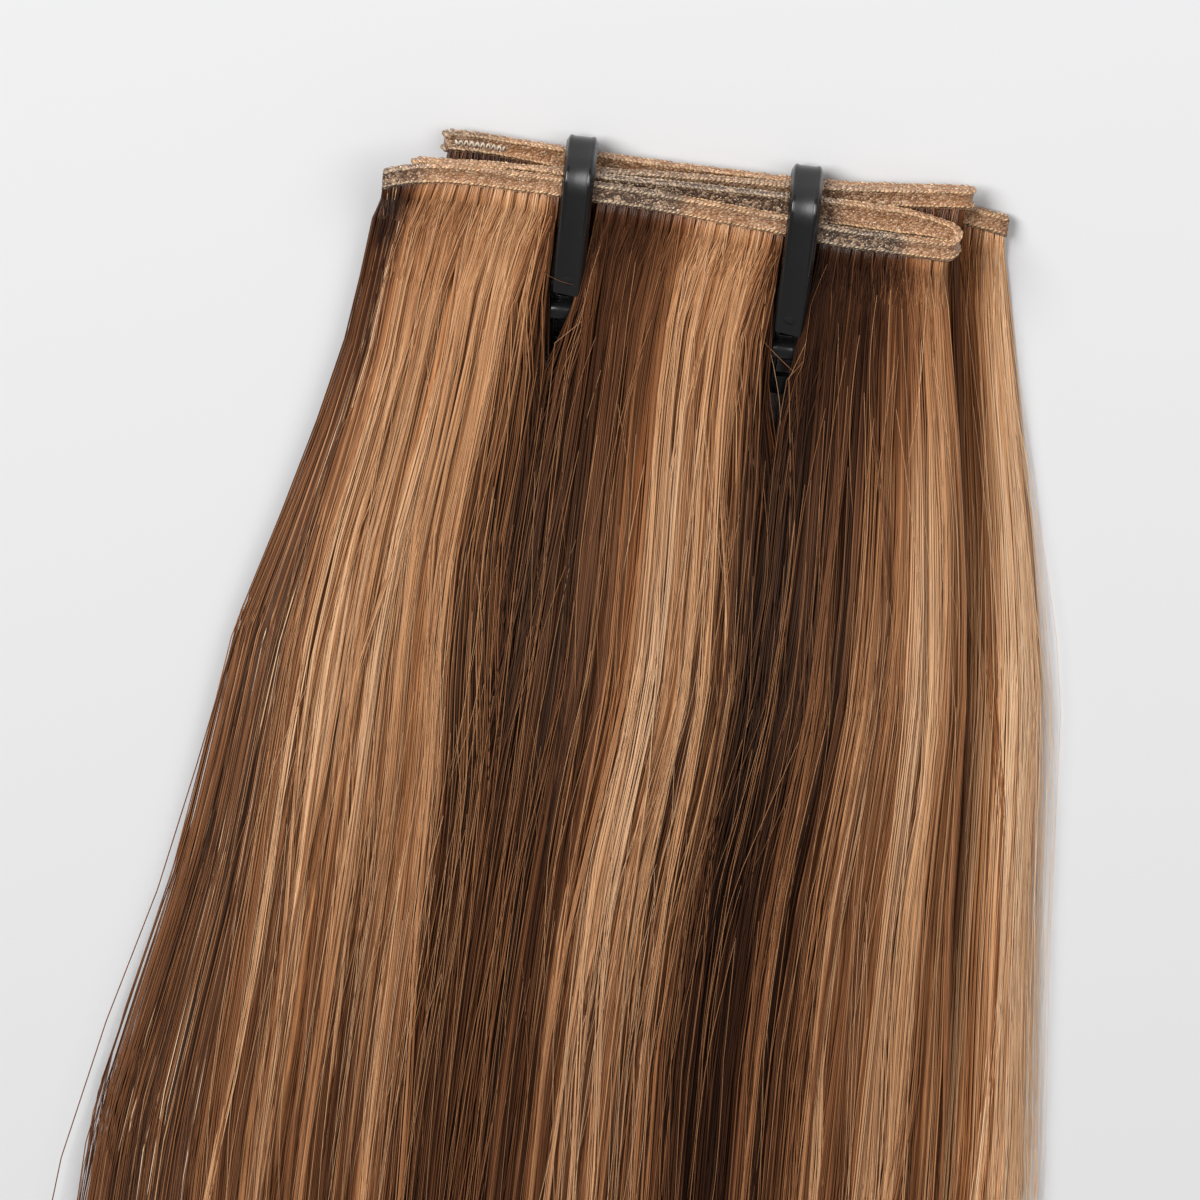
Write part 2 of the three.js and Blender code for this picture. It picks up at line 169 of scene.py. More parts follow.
def swayAt(x, drop):
    x, drop = np.broadcast_arrays(x, drop)
    column = np.interp(x, sway["x"], np.arange(len(sway["x"])))
    row = np.interp(drop, sway["drop"], np.arange(len(sway["drop"])))
    j = np.minimum(column.astype(int), len(sway["x"]) - 2)
    i = np.minimum(row.astype(int), len(sway["drop"]) - 2)
    shift = sway["shift"]
    before = mix(shift[i, j], shift[i, j + 1], column - j)
    after = mix(shift[i + 1, j], shift[i + 1, j + 1], column - j)
    return mix(before, after, row - i)


def fanAt(column, drop):
    return np.interp(drop, fan["drop"], fan[column])


def fanned(x, drop, layer=0):
    outer = np.where(x < 0, fanAt("left", drop), fanAt("right", drop))
    share = np.abs(x) / np.where(x < 0, fan["leftEnd"], fan["rightEnd"])
    power = np.where(x < 0, fan["leftPower"], fan["rightPower"])
    inner = fan["innerShare"] + (1 - fan["innerShare"]) * np.minimum(share, 1) ** power
    return x * (1 + (outer - 1) * inner) + sway["share"][layer] * swayAt(x, drop)


def outerEdge(x, drop):
    return np.where(x < 0, fan["leftEnd"] * fanAt("left", drop), fan["rightEnd"] * fanAt("right", drop))


def stackHeight(x, drop, level):  # level 0 is the floor, and each layer of hair is one level
    thinning = 1 - fan["edgeThinning"] * np.minimum(np.abs(x) / outerEdge(x, drop), 1) ** 4
    return level * fanAt("pitch", drop) * thinning


def valleyDepth(x, drop):
    depth = np.zeros(np.broadcast(x, drop).shape)
    for middle, _, lower in clipSpots.values():
        away = (x - fanned(np.asarray(middle), drop)) / fan["valleyWidth"]
        depth += fan["valleyDepth"] * np.exp(-away * away) * window(drop - lower, *fan["valleyDrop"])
    return depth


def hairTop(layer, rootX, x, drop):  # the upper side of a layer where it lies on the stack
    top = stackHeight(x, drop, 5.0 - layer)
    if layer == 0:
        sunk = smoothStep(rootX, *fan["rightSinkFrom"]) * smoothStep(drop, *fan["rightSinkDrop"])
        top = top - valleyDepth(x, drop) - fan["rightSink"] * sunk
    droop = fan["edgeDroop"] * smoothStep(np.abs(x) / outerEdge(x, drop), *fan["edgeDroopFrom"])
    return top * (1 - droop)


# Materials


class Shade:
    def __init__(self, tree, socket=None):
        self.tree, self.socket = tree, socket

    def node(self, kind, settings=None, sockets=None, output=0):
        made = self.tree.nodes.new("ShaderNode" + kind)
        for name, value in (settings or {}).items():
            if name == "stops":
                for i, (place, colour) in enumerate(value):
                    stop = made.color_ramp.elements[i] if i < 2 else made.color_ramp.elements.new(place)
                    stop.position, stop.color = place, colour
            else:
                setattr(made, name, value)
        for name, value in (sockets or {}).items():
            if isinstance(value, Shade):
                self.tree.links.new(value.socket, made.inputs[name])
            else:
                made.inputs[name].default_value = value
        return Shade(self.tree, made.outputs[output])

    def maths(self, operation, first, second):
        return self.node("Math", {"operation": operation}, {0: first, 1: second})

    def __add__(self, other):
        return self.maths("ADD", self, other)

    def __radd__(self, other):
        return self.maths("ADD", other, self)

    def __sub__(self, other):
        return self.maths("SUBTRACT", self, other)

    def __rsub__(self, other):
        return self.maths("SUBTRACT", other, self)

    def __mul__(self, other):
        return self.maths("MULTIPLY", self, other)

    def __rmul__(self, other):
        return self.maths("MULTIPLY", other, self)

    def tint(self, blend, factor, first, second):  # colours go through Mix
        settings = {"data_type": "RGBA", "blend_type": blend, "clamp_factor": True}
        return self.node("Mix", settings, {0: factor, 6: first, 7: second}, 2)

    def ramp(self, value, *stops):
        stops = [(at, (*colour, 1)) for at, colour in stops]
        return self.node("ValToRGB", {"stops": stops}, {"Fac": value})

    def place(self, stretch):  # Object coordinates, stretched
        sockets = {"Vector": self.node("TexCoord", output=3), "Scale": stretch}
        return self.node("Mapping", None, sockets)

    def noise(self, stretch, scale, detail=2.0, roughness=0.5):
        sockets = {"Vector": self.place(stretch), "Scale": scale, "Detail": detail, "Roughness": roughness}
        return self.node("TexNoise", None, sockets)

    def attribute(self, name, output=0):
        return self.node("Attribute", {"attribute_name": name}, None, output)

    def bump(self, strength, distance, height):
        sockets = {"Strength": strength, "Distance": distance, "Height": height}
        return self.node("Bump", None, sockets)


def newMaterial(name, **fixed):
    material = bpy.data.materials.new(name)
    material.use_nodes = True
    finish = material.node_tree.nodes["Principled BSDF"]
    for socket, value in fixed.items():
        finish.inputs[socket.replace("_", " ")].default_value = value
    shade = Shade(material.node_tree)
    feed = lambda socket, value: material.node_tree.links.new(value.socket, finish.inputs[socket])
    return material, shade, feed


def linear(red, green, blue):
    channels = np.array([red, green, blue]) / 255
    return np.where(channels > 0.04, ((channels + 0.055) / 1.055) ** 2.4, channels / 12.92)


def strandFinish():
    material, shade, feed = newMaterial("hair strands", Roughness=0.4, Specular_IOR_Level=0.34)
    streak = shade.noise((1.0, 0.02, 1.0), 900.0)
    feed("Base Color", shade.tint("MULTIPLY", 0.3, shade.attribute("hairColour"), streak))
    return material


def coreFinish():
    material, shade, feed = newMaterial("hair underneath", Roughness=0.5, Specular_IOR_Level=0.15)
    flow = {"Vector": shade.attribute("hairFlow", 1), "Scale": 1.0, "Detail": 3.0, "Roughness": 0.6}
    fine = shade.node("TexNoise", None, flow)
    streak = shade.ramp(fine, (0.34, (0.3, 0.28, 0.27)), (0.5, (0.8, 0.8, 0.8)), (0.68, (1.5, 1.45, 1.4)))
    feed("Base Color", shade.tint("MULTIPLY", 1.0, shade.attribute("hairColour"), streak))
    feed("Normal", shade.bump(0.6, 0.0003, fine))
    return material


def bandFinish():
    material, shade, feed = newMaterial("coated band", Roughness=0.34, Coat_Weight=0.3, Coat_Roughness=0.2)
    pebble = {"Vector": shade.place((1.0, 1.0, 1.0)), "Scale": 1800.0}
    distance = shade.node("TexVoronoi", None, pebble)
    cell = shade.node("TexVoronoi", None, pebble, 1)
    # painted glints of the glossy coat: bright flecks from this noise, and pale pebbles from the cells
    glintFlecks = shade.noise((1.0, 1.0, 1.0), 3400.0, 1.0)
    # painted shade: darker in the grooves between the pebbles
    grooveShade = shade.ramp(distance, (0.2, (1, 1, 1)), (0.8, (0.5, 0.47, 0.45)))
    base = shade.tint("MULTIPLY", 0.8, shade.attribute("hairColour"), grooveShade)
    pale = shade.ramp(cell, (0.5, (0, 0, 0)), (0.8, (0.45, 0.45, 0.45)))
    base = shade.tint("MIX", pale, base, (*linear(206, 170, 136), 1))
    brightGlints = shade.ramp(glintFlecks, (0.62, (0, 0, 0)), (0.72, (0.85, 0.85, 0.85)))
    feed("Base Color", shade.tint("MIX", brightGlints, base, (*linear(228, 210, 190), 1)))
    height = shade.ramp(distance, (0.0, (1, 1, 1)), (0.8, (0, 0, 0)))
    feed("Normal", shade.bump(0.7, 0.0003, height))
    return material


def threadFinish():
    material, shade, feed = newMaterial("stitch thread", Roughness=0.4, Coat_Weight=0.3)
    wear = shade.ramp(shade.noise((1.0, 1.0, 1.0), 900.0, 3.0), (0.3, (0.55, 0.52, 0.5)), (0.6, (1, 1, 1)))
    feed("Base Color", shade.tint("MULTIPLY", 1.0, shade.attribute("hairColour"), wear))
    return material


def plasticFinish(name, roughness, grain):
    material, shade, feed = newMaterial(name, Base_Color=(0.007, 0.007, 0.0075, 1), Specular_IOR_Level=0.4)
    wear = shade.noise((1.0, 1.0, 1.0), 900.0, 4.0, 0.65)
    feed("Roughness", roughness - 0.08 + wear * 0.16)
    feed("Normal", shade.bump(grain, 0.0001, wear))
    return material


strandMaterial = strandFinish()
coreMaterial = coreFinish()
bandMaterial = bandFinish()
threadMaterial = threadFinish()
glossPlastic = plasticFinish("black plastic", 0.2, 0.1)
mattePlastic = plasticFinish("black plastic, matte", 0.42, 0.3)
print("materials made")


# Pieces


def finishPiece(name, mesh, materials, replaced=()):
    piece = bpy.data.objects.new(name, mesh)
    bpy.context.scene.collection.objects.link(piece)
    for material in materials:
        mesh.materials.append(material)
    mesh.shade_smooth()
    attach(piece, "root")
    if replaced:
        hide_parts(*replaced)
    return piece


def paint(mesh, colours):  # one colour a vertex, in the attribute that the finishes read
    layer = mesh.color_attributes.new("hairColour", "FLOAT_COLOR", "POINT")
    rgba = np.ones((len(mesh.vertices), 4), np.float32)
    rgba[:, :3] = colours
    layer.data.foreach_set("color", rgba.ravel())


def meshFrom(name, bm):  # the finished mesh, moved into the row frame, and its places in millimetres
    mesh = bpy.data.meshes.new(name)
    bm.to_mesh(mesh)
    bm.free()
    places = np.array([vert.co for vert in mesh.vertices])
    mesh.vertices.foreach_set("co", toRow(places).astype(np.float32).ravel())
    mesh.update()
    return mesh, places


def linked(verts, kind):  # the faces or edges at these vertices, each once and always in one order
    return list(dict.fromkeys(part for vert in verts for part in getattr(vert, kind)))


def loft(bm, rings):  # bridges closed rings in turn and fills both ends
    loops = []
    for ring in rings:
        verts = [bm.verts.new(place) for place in ring]
        loops.append([bm.edges.new(pair) for pair in zip(verts, verts[1:] + verts[:1])])
    made = []
    for one, two in zip(loops, loops[1:]):
        made += bmesh.ops.bridge_loops(bm, edges=one + two)["faces"]
    for loop in (loops[0], loops[-1]):
        made += bmesh.ops.edgeloop_fill(bm, edges=loop)["faces"]
    bmesh.ops.recalc_face_normals(bm, faces=made)


# the colour stripes, as how light the hair is at places along each layer's band
stripes = [
    [(-56, 0.2), (-53.5, 0.13), (-51.5, 0.2), (-50.3, 0.34), (-49, 0.6), (-47.5, 0.74), (-46, 0.72),
     (-34, 0.72), (-29, 0.79), (-25.5, 0.72), (-23.8, 0.42), (-17, 0.23), (-9, 0.25), (-3, 0.37), (0, 0.54),
     (2, 0.69), (4, 0.8), (9, 0.78), (13, 0.77), (15, 0.79), (17, 0.58), (19, 0.3), (24, 0.16), (33, 0.18),
     (36, 0.34), (39, 0.57), (43, 0.7), (50, 0.76)],
    [(-52, 0.4), (-40, 0.36), (-32, 0.4), (-26, 0.28), (-12, 0.24), (0, 0.45), (10, 0.42), (16, 0.34),
     (24, 0.2), (36, 0.3), (42, 0.5), (50, 0.5)],
    [(-50, 0.4), (-34, 0.34), (-20, 0.24), (0, 0.3), (20, 0.24), (40, 0.4), (46, 0.42), (52, 0.5)],
    [(-46, 0.36), (-34, 0.22), (-30, 0.6), (-20, 0.55), (-14, 0.2), (0, 0.2), (3, 0.6), (30, 0.55),
     (46, 0.45), (52, 0.55)],
    # the lowest layer's far right end is light as its own colour, and lighter still as painted light where it
    # slopes away from the lamps
    [(-46, 0.36), (-30, 0.25), (-10, 0.5), (10, 0.35), (30, 0.5), (40, 0.55), (46.5, 0.58), (49.5, 0.48),
     (51, 0.54), (52.3, 0.72), (54, 0.84), (56, 0.93), (58, 0.98)],
]
hairRamp = np.array([
    linear(42, 20, 7), linear(70, 38, 18), linear(112, 69, 41), linear(167, 112, 72), linear(212, 161, 116),
    linear(233, 192, 152), linear(246, 217, 184),
])
lightest = 1.2  # the lightness at the ramp's end


def hairColour(light):
    light = np.clip(light, 0, lightest)
    places = np.linspace(0, lightest, len(hairRamp))
    return np.stack([np.interp(light, places, hairRamp[:, i]) for i in range(3)], -1)


def lightness(layer, x):
    places, shares = zip(*stripes[layer])
    return np.interp(x, places, shares)


# Hair strands

strands = {
    "tuftPitch": 2.05,
    "tuftInset": (0.9, 0.6),  # from the two ends of a layer
    "tuftShift": 0.2,
    "tuftWidth": 0.76,
    "tuftReach": 2.1,
    "tuftOpens": (0.5, 16.0),
    "clipGap": 3.3,
    "perTuft": [96, 24, 14, 14, 24],  # for each layer, from the top
    # more of them in the second layer beside the partings, and where the outer tufts fan out furthest
    "partingTimes": (11.0, 3),
    "leftTimes": (3, 2),
    "rightTimes": [(6, 1.4), (7, 3), (7, 3), (7, 3), (7, 3)],
    "stations": [17, 13, 11, 11, 13],
    "crowding": 1.7,  # a power, which sets stations closer together near the band
    "length": (425.0, 498.0),
    "radius": (0.08, 0.16),
    "taper": ([0, 0.02, 0.8, 1], [0.8, 1.0, 0.95, 0.45]),
    "rootCover": 0.5,
    "rootSpread": (-0.35, 0.45),
    "wobble": (0.1, (9.0, 30.0), (8.0, 60.0)),  # how far, wave and drop
    "stray": (0.03, 5.0, (30.0, 420.0)),  # share, how far and drop
    "strayLift": ((0.1, 0.5), (20.0, 90.0)),
    # how the strands of a layer lie over each other
    "sunk": 0.2,
    "depthPower": [2.0, 1.2, 1.2, 1.2, 1.2],
    "depthShare": 0.7,
    "reliefShare": [1.0, 0.5, 0.5, 0.5, 1.0],
    "reliefDrop": (14.0, 60.0),
    "lowest": 0.15,
}
wisps = {  # most strands lie together in wisps that narrow and widen, over others that fill in
    "number": 120,
    "fromX": -75.0,
    "share": 0.66,
    "width": (0.8, 2.6),
    "spill": 0.3,
    "gathersAt": (5.0, 40.0),
    "pinch": (0.35, 1.06),
    "beat": (13.0, 32.0),
    "sway": 0.7,
    "wave": (30.0, 70.0),
    "slope": 0.009,
    "calm": 0.75,  # the outermost keep to the edge
    "calmBeyond": (44.0, 52.0),
    "relief": 0.6,
    "lift": 0.3,
    "tone": 0.115,
    "toneRange": (-0.2, 0.13),
    "under": 0.5,
    "underLean": 0.4,
    # painted shade: strands lying under the wisps are darker
    "underShade": -0.09,
}
crossing = {  # narrow wisps that cross over the others
    "share": 0.2,
    "number": 70,
    "inset": 2.0,
    "reach": 2.5,
    "spread": 0.4,
    "width": (0.5, 1.4),
    "widens": ([0, 500], [1.0, 1.4]),
    "shift": (1.5, 6.0),
    "start": (10.0, 230.0),
    "run": (45.0, 120.0),
    "lift": (0.3, 0.7),
    "hollow": 0.25,
    "tone": (0.02, 0.1),
}
partings = {  # drops are below a clip's own place
    "strandsClose": [(17, 40), (34, 52), (46, 75), (46, 75), (46, 75)],  # for each layer, from the top
    "massCloses": [(22, 42), (38, 54), (46, 75), (46, 75), (46, 75)],
    "ragged": 0.4,
    "least": 0.05,
    "near": 10.0,
    # strands of the top two layers move over the left and the right one
    "moveBy": [(8.0, 4.5), (9.0, 9.0)],
    "moveDrop": [(58, 160), (40, 75)],
    # and some of the top layer cross over the clips' tails
    "overShare": 0.3,
    "overFrom": 6.5,
    "overBy": (0.4, 1.0),
    "overDrop": (32, 54),
    "shade": 0.45,
    "shadeWidth": 3.6,
    "shadeDrop": [((25, 60), (70, 130)), ((25, 60), (160, 220))],  # the left and the right one
}
# all layers, the whole length of the band, and a drop past the tips, for the changes of tone
every, whole, below = range(5), ((-90, -89), (89, 90)), (600, 700)
tones = {
    "lookSpread": 0.6,
    "spread": [0.06, 0.06, 0.06, 0.06, 0.102],  # for each layer, from the top
    # dark hair has lighter strands in it, most of all in the wing at the left edge
    "darkBelow": 0.45,
    "wingFrom": -46.0,
    "wingLighter": 0.07,
    "darkLighter": 0.05,
    "wispShare": (0.55, 1.45),
    "wispDrop": (30, 170),
    # further down, the middle light stripe is wider and the right one narrower: a shift, and where
    "stripeShift": {0: (3.2, (-16, -10), (2, 8)), 4: (-3.2, (-90, -89), (54.8, 57))},
    "stripeDrop": (120, 210),
    # painted shade near the partings
    "byParting": (0.3, (25, 80)),
    "moved": (0.06, (50, 110)),
    "dark": (0.35, 0.55),
    # painted sheen: the hair is painted lighter around this drop, where it would catch most light
    "sheenDrop": 95.0,  # hair catches most light some way below the band
    "sheenWidth": 45.0,
    "sheen": (0.05, 0.11),  # of light and of dark hair
    # layers, which hair, rise and fall along the band, change before and after a drop, and its end
    "changes": [
        (every, "dark", *whole, -0.11, 0.0, (25, 70), below),
        (every, "dark", (-18.1, -18), (4, 4.1), 0.08, 0.0, (25, 70), below),
        (every, "dark", *whole, 0.0, 0.05, (130, 200), below),
        (every, "light", *whole, -0.06, 0.0, (30, 70), below),
        ([0], "light", (-90, -89), (25, 25.1), 0.0, -0.19, (120, 230), below),
        ([0], "all", (-52, -50), (-47, -41), 0.0, 0.09, (110, 180), below),
        ([0], "all", (33, 37), (42, 45), -0.13, 0.09, (30, 75), (125, 180)),
        ([0], "all", (-37, -31), (-25, -22), 0.06, -0.07, (25, 60), (130, 180)),
        # painted light: the lowest layer is lighter further down, against the shade of the layers above it
        ([4], "all", *whole, 0.03, 0.12, (40, 160), below),
        # the tips are lighter, partly as their own colour and partly as painted light where the thin tips
        # fall into shade
        (every, "all", *whole, 0.0, 0.12, (360, 470), below),
    ],
    "darkWisp": (0.32, -33.5, 1.3, (150, 200)),
    "broadWisps": (0.06, 1.3, 1.5, 0.37, (90, 200)),
    "rootShade": (0.85, (0, 5)),
    "warmth": np.array([0.0, 0.015, 0.05]),
    "lowestTint": np.array([1.04, 0.96, 0.86]),
    # grey for a painted reflection on dark hair at the sheen, and for the wing's own duller colour
    "grey": linear(112, 88, 72),
    "sheenGreyShare": [0.22, 0.1, 0.1, 0.1, 0.1],
    "greyWing": (0.16, (46, 50), (60, 130)),
}


def tubes(paths, radii, colours, name):  # closed three-sided tubes along paths of count x stations x 3
    count, stations = paths.shape[:2]
    along = np.gradient(paths, axis=1)
    along /= np.linalg.norm(along, axis=2, keepdims=True)
    side = np.cross(along, (0.0, 0.0, 1.0))
    side /= np.maximum(np.linalg.norm(side, axis=2, keepdims=True), 1e-9)
    top = np.cross(side, along)
    turn = rng.uniform(0, 2 * math.pi, (count, 1, 1, 1)) + np.arange(3)[:, None] * 2 * math.pi / 3
    ring = np.cos(turn) * side[:, :, None] - np.sin(turn) * top[:, :, None]
    verts = paths[:, :, None] + ring * radii[:, :, None, None]
    number = np.arange(count * stations * 3).reshape(count, stations, 3)
    nextSide = np.roll(number, -1, axis=2)
    quads = np.stack([number[:, :-1], nextSide[:, :-1], nextSide[:, 1:], number[:, 1:]], -1).reshape(-1, 4)
    ends = np.concatenate([number[:, 0, ::-1], number[:, -1]])
    mesh = bpy.data.meshes.new(name)
    mesh.from_pydata(toRow(verts.reshape(-1, 3)), [], quads.tolist() + ends.tolist())
    mesh.update()
    paint(mesh, np.repeat(colours, 3, axis=1).reshape(-1, 3))

    # a map for baking, with one cell for each strand
    rows = 16
    columns = math.ceil(count / rows)
    corner = np.stack([np.arange(count) % columns / columns, np.arange(count) // columns / rows], -1)
    across = (np.arange(4) + 0.2) / 3.4 / columns * 0.9
    down = np.linspace(0.04, 0.96, stations) / rows
    cell = np.stack(np.meshgrid(across, down), -1)
    walls = np.stack([cell[:-1, :3], cell[:-1, 1:], cell[1:, 1:], cell[1:, :3]], 2).reshape(-1, 2)
    caps = [np.stack([across[:3], down[order]], -1) for order in ([0, 1, 0], [-1, -2, -1])]
    uv = np.concatenate([(corner[:, None] + part).reshape(-1, 2) for part in (walls, *caps)])
    mesh.uv_layers.new(name="OFBake").data.foreach_set("uv", uv.astype(np.float32).ravel())
    return mesh


def wispPaths(layer, x, freeX, drop):  # ways of the strands once gathered, how they stand up, and their tones
    count, number = len(freeX), wisps["number"]
    edges = np.cumsum(rng.uniform(*wisps["width"], number)) + wisps["fromX"]
    wisp = np.clip(np.searchsorted(edges, freeX + rng.normal(0, wisps["spill"], count)), 1, number - 1)
    middle, half = (edges[wisp] + edges[wisp - 1]) / 2, (edges[wisp] - edges[wisp - 1]) / 2
    draw = lambda limits: rng.uniform(*limits, number)[wisp][:, None]
    spread = lambda name: rng.normal(0, wisps[name], number)[wisp][:, None]
    wave = lambda name: np.sin(drop / draw(wisps[name]) + draw(phases))
    lean = spread("slope") * drop
    lean += spread("sway") * wave("wave")
    pinch = mix(*wisps["pinch"], 0.5 + 0.5 * wave("beat"))
    calm = smoothStep(np.abs(freeX), *wisps["calmBeyond"])[:, None] * wisps["calm"]
    lean, pinch = lean * (1 - calm), mix(pinch, 1.0, calm)
    centre = fanned(middle[:, None], drop, layer)
    inWisp = (rng.random(count) < wisps["share"])[:, None]
    path = np.where(inWisp, centre + (x - centre) * pinch + lean, x + wisps["underLean"] * lean)
    across = np.clip((freeX - middle) / half, -1, 1)[:, None]
    relief = np.where(inWisp, wisps["relief"] * (0.6 - across ** 2) + spread("lift"), -wisps["under"])
    tone = np.where(inWisp, spread("tone"), wisps["underShade"])[:, 0]
    return path, relief * np.ones_like(drop), tone


def crossPaths(layer, freeX, drop):
    count, number = len(freeX), crossing["number"]
    left, right = hairEnds(layer)
    middle = np.sort(rng.uniform(left + crossing["inset"], right - crossing["inset"], number))
    mine = np.clip(np.searchsorted(middle, freeX), 0, number - 1)
    taken = (rng.random(count) < crossing["share"]) & (np.abs(middle[mine] - freeX) < crossing["reach"])
    draw = lambda name: rng.uniform(*crossing[name], number)[mine][:, None]
    shift = draw("shift") * rng.choice([-1, 1], number)[mine][:, None]
    start = draw("start")
    across = rng.normal(0, crossing["spread"], (count, 1))
    path = fanned(middle[mine][:, None], drop, layer) + shift * smoothStep(drop, start, start + draw("run"))
    path += across * draw("width") * np.interp(drop, *crossing["widens"])
    relief = draw("lift") - crossing["hollow"] * across ** 2
    return taken, path, relief, rng.normal(*crossing["tone"], number)[mine]


def closeOver(layer, freeX, drop):  # how far strands move over the partings, at each station and in all
    count = len(freeX)
    shift, moved = np.zeros_like(drop), np.zeros(count)
    if layer >= len(partings["moveBy"]):
        return shift, moved
    for (clipX, _, lower), reach in zip(clipSpots.values(), partings["moveBy"][layer]):
        near = np.clip(1 - np.abs(freeX - clipX) / partings["near"], 0, 1)
        towards = near * rng.random(count) * np.sign(clipX - freeX) * reach
        moved += np.abs(towards)
        shift += towards[:, None] * smoothStep(drop, *partings["moveDrop"][layer])
        over = (rng.random(count) < partings["overShare"]) & (np.abs(freeX - clipX) < partings["overFrom"])
        across = (clipX - freeX) * rng.uniform(*partings["overBy"], count) * (over & (layer == 0))
        shift += across[:, None] * smoothStep(drop - lower, *partings["overDrop"])
    return shift, moved


def partAround(layer, tuftX, freeX, x, drop):  # strands kept clear of the clips, and how near each one is
    byParting = np.zeros(len(freeX))
    for clipX, _, lower in clipSpots.values():
        half = fan["parting"] * (1 - smoothStep(drop - lower, *partings["strandsClose"][layer]))
        ragged = rng.exponential(partings["ragged"], (len(freeX), 1))
        half = np.where(half > partings["least"], half + ragged, noLimit)
        onLeft = (tuftX < clipX)[:, None]
        x = np.where(onLeft, np.minimum(x, clipX - half), np.maximum(x, clipX + half))
        byParting = np.maximum(byParting, 1 - np.abs(freeX - clipX) / partings["near"])
    return x, byParting


def strandColours(layer, freeX, drop, rootDrop, tone, byParting, moved):
    count = len(freeX)
    down = lambda limits: smoothStep(drop, *limits)
    lookX = freeX + rng.normal(0, tones["lookSpread"], count)
    light = lightness(layer, lookX)
    light += rng.normal(0, tones["spread"][layer], count)
    lighter = rng.exponential(1.0, count)
    inWing, elsewhere = tones["wingLighter"] * lighter ** 2, tones["darkLighter"] * lighter
    lighter = np.where(freeX < tones["wingFrom"], inWing, elsewhere)
    light += np.where(light < tones["darkBelow"], lighter, 0)
    light = light[:, None] + tone[:, None] * mix(*tones["wispShare"], down(tones["wispDrop"]))
    if layer in tones["stripeShift"]:
        shift, *place = tones["stripeShift"][layer]
        change = lightness(layer, lookX + shift * window(freeX, *place)) - lightness(layer, lookX)
        light += change[:, None] * down(tones["stripeDrop"])
    # painted shade: hair near a parting is darker, as down in the valley under a clip; hair moved over a
    # parting is a little darker too
    for name, share in (("byParting", byParting), ("moved", moved)):
        amount, limits = tones[name]
        light -= amount * share[:, None] * down(limits)

    dark = 1 - smoothStep(light, *tones["dark"])
    sheen = np.exp(-((drop - tones["sheenDrop"]) / tones["sheenWidth"]) ** 2)
    # painted reflection: dark hair is greyed where the sheen is; below, the wing at the left edge is greyed
    # as its own colour
    greyed = tones["sheenGreyShare"][layer] * dark * sheen
    # painted sheen: light and dark hair are painted lighter around the sheen's drop
    light += mix(*tones["sheen"], dark) * sheen
    which = {"all": 1.0, "dark": dark, "light": 1 - dark}
    for layers, hair, rise, fall, before, after, limits, ends in tones["changes"]:
        if layer in layers:
            amount = mix(before, after, down(limits)) * (1 - down(ends))
            light += which[hair] * window(freeX, rise, fall)[:, None] * amount
    if layer == 0:
        amount, place, width, limits = tones["darkWisp"]
        light -= amount * np.exp(-(((freeX - place) / width) ** 2))[:, None] * down(limits)
        amount, beat, bend, slow, limits = tones["broadWisps"]
        light += amount * np.sin(freeX * beat + bend * np.sin(freeX * slow))[:, None] * down(limits)
        amount, beyond, limits = tones["greyWing"]
        greyed += amount * dark * smoothStep(-freeX, *beyond)[:, None] * down(limits)

    darkest, limits = tones["rootShade"]
    shade = mix(darkest, 1.0, smoothStep(drop - rootDrop, *limits))
    for (clipX, _, _), limits in zip(clipSpots.values(), partings["shadeDrop"]):
        inParting = np.exp(-(((freeX - clipX) / partings["shadeWidth"]) ** 2))[:, None]
        shade = shade * (1 - partings["shade"] * inParting * window(drop, *limits))
    warmth = 1 + rng.normal(0, 1, (count, 1, 1)) * tones["warmth"]
    colours = hairColour(light) * shade[:, :, None] * warmth
    if layer == 4:
        colours = colours * tones["lowestTint"]
    return mix(colours, tones["grey"], greyed[:, :, None])


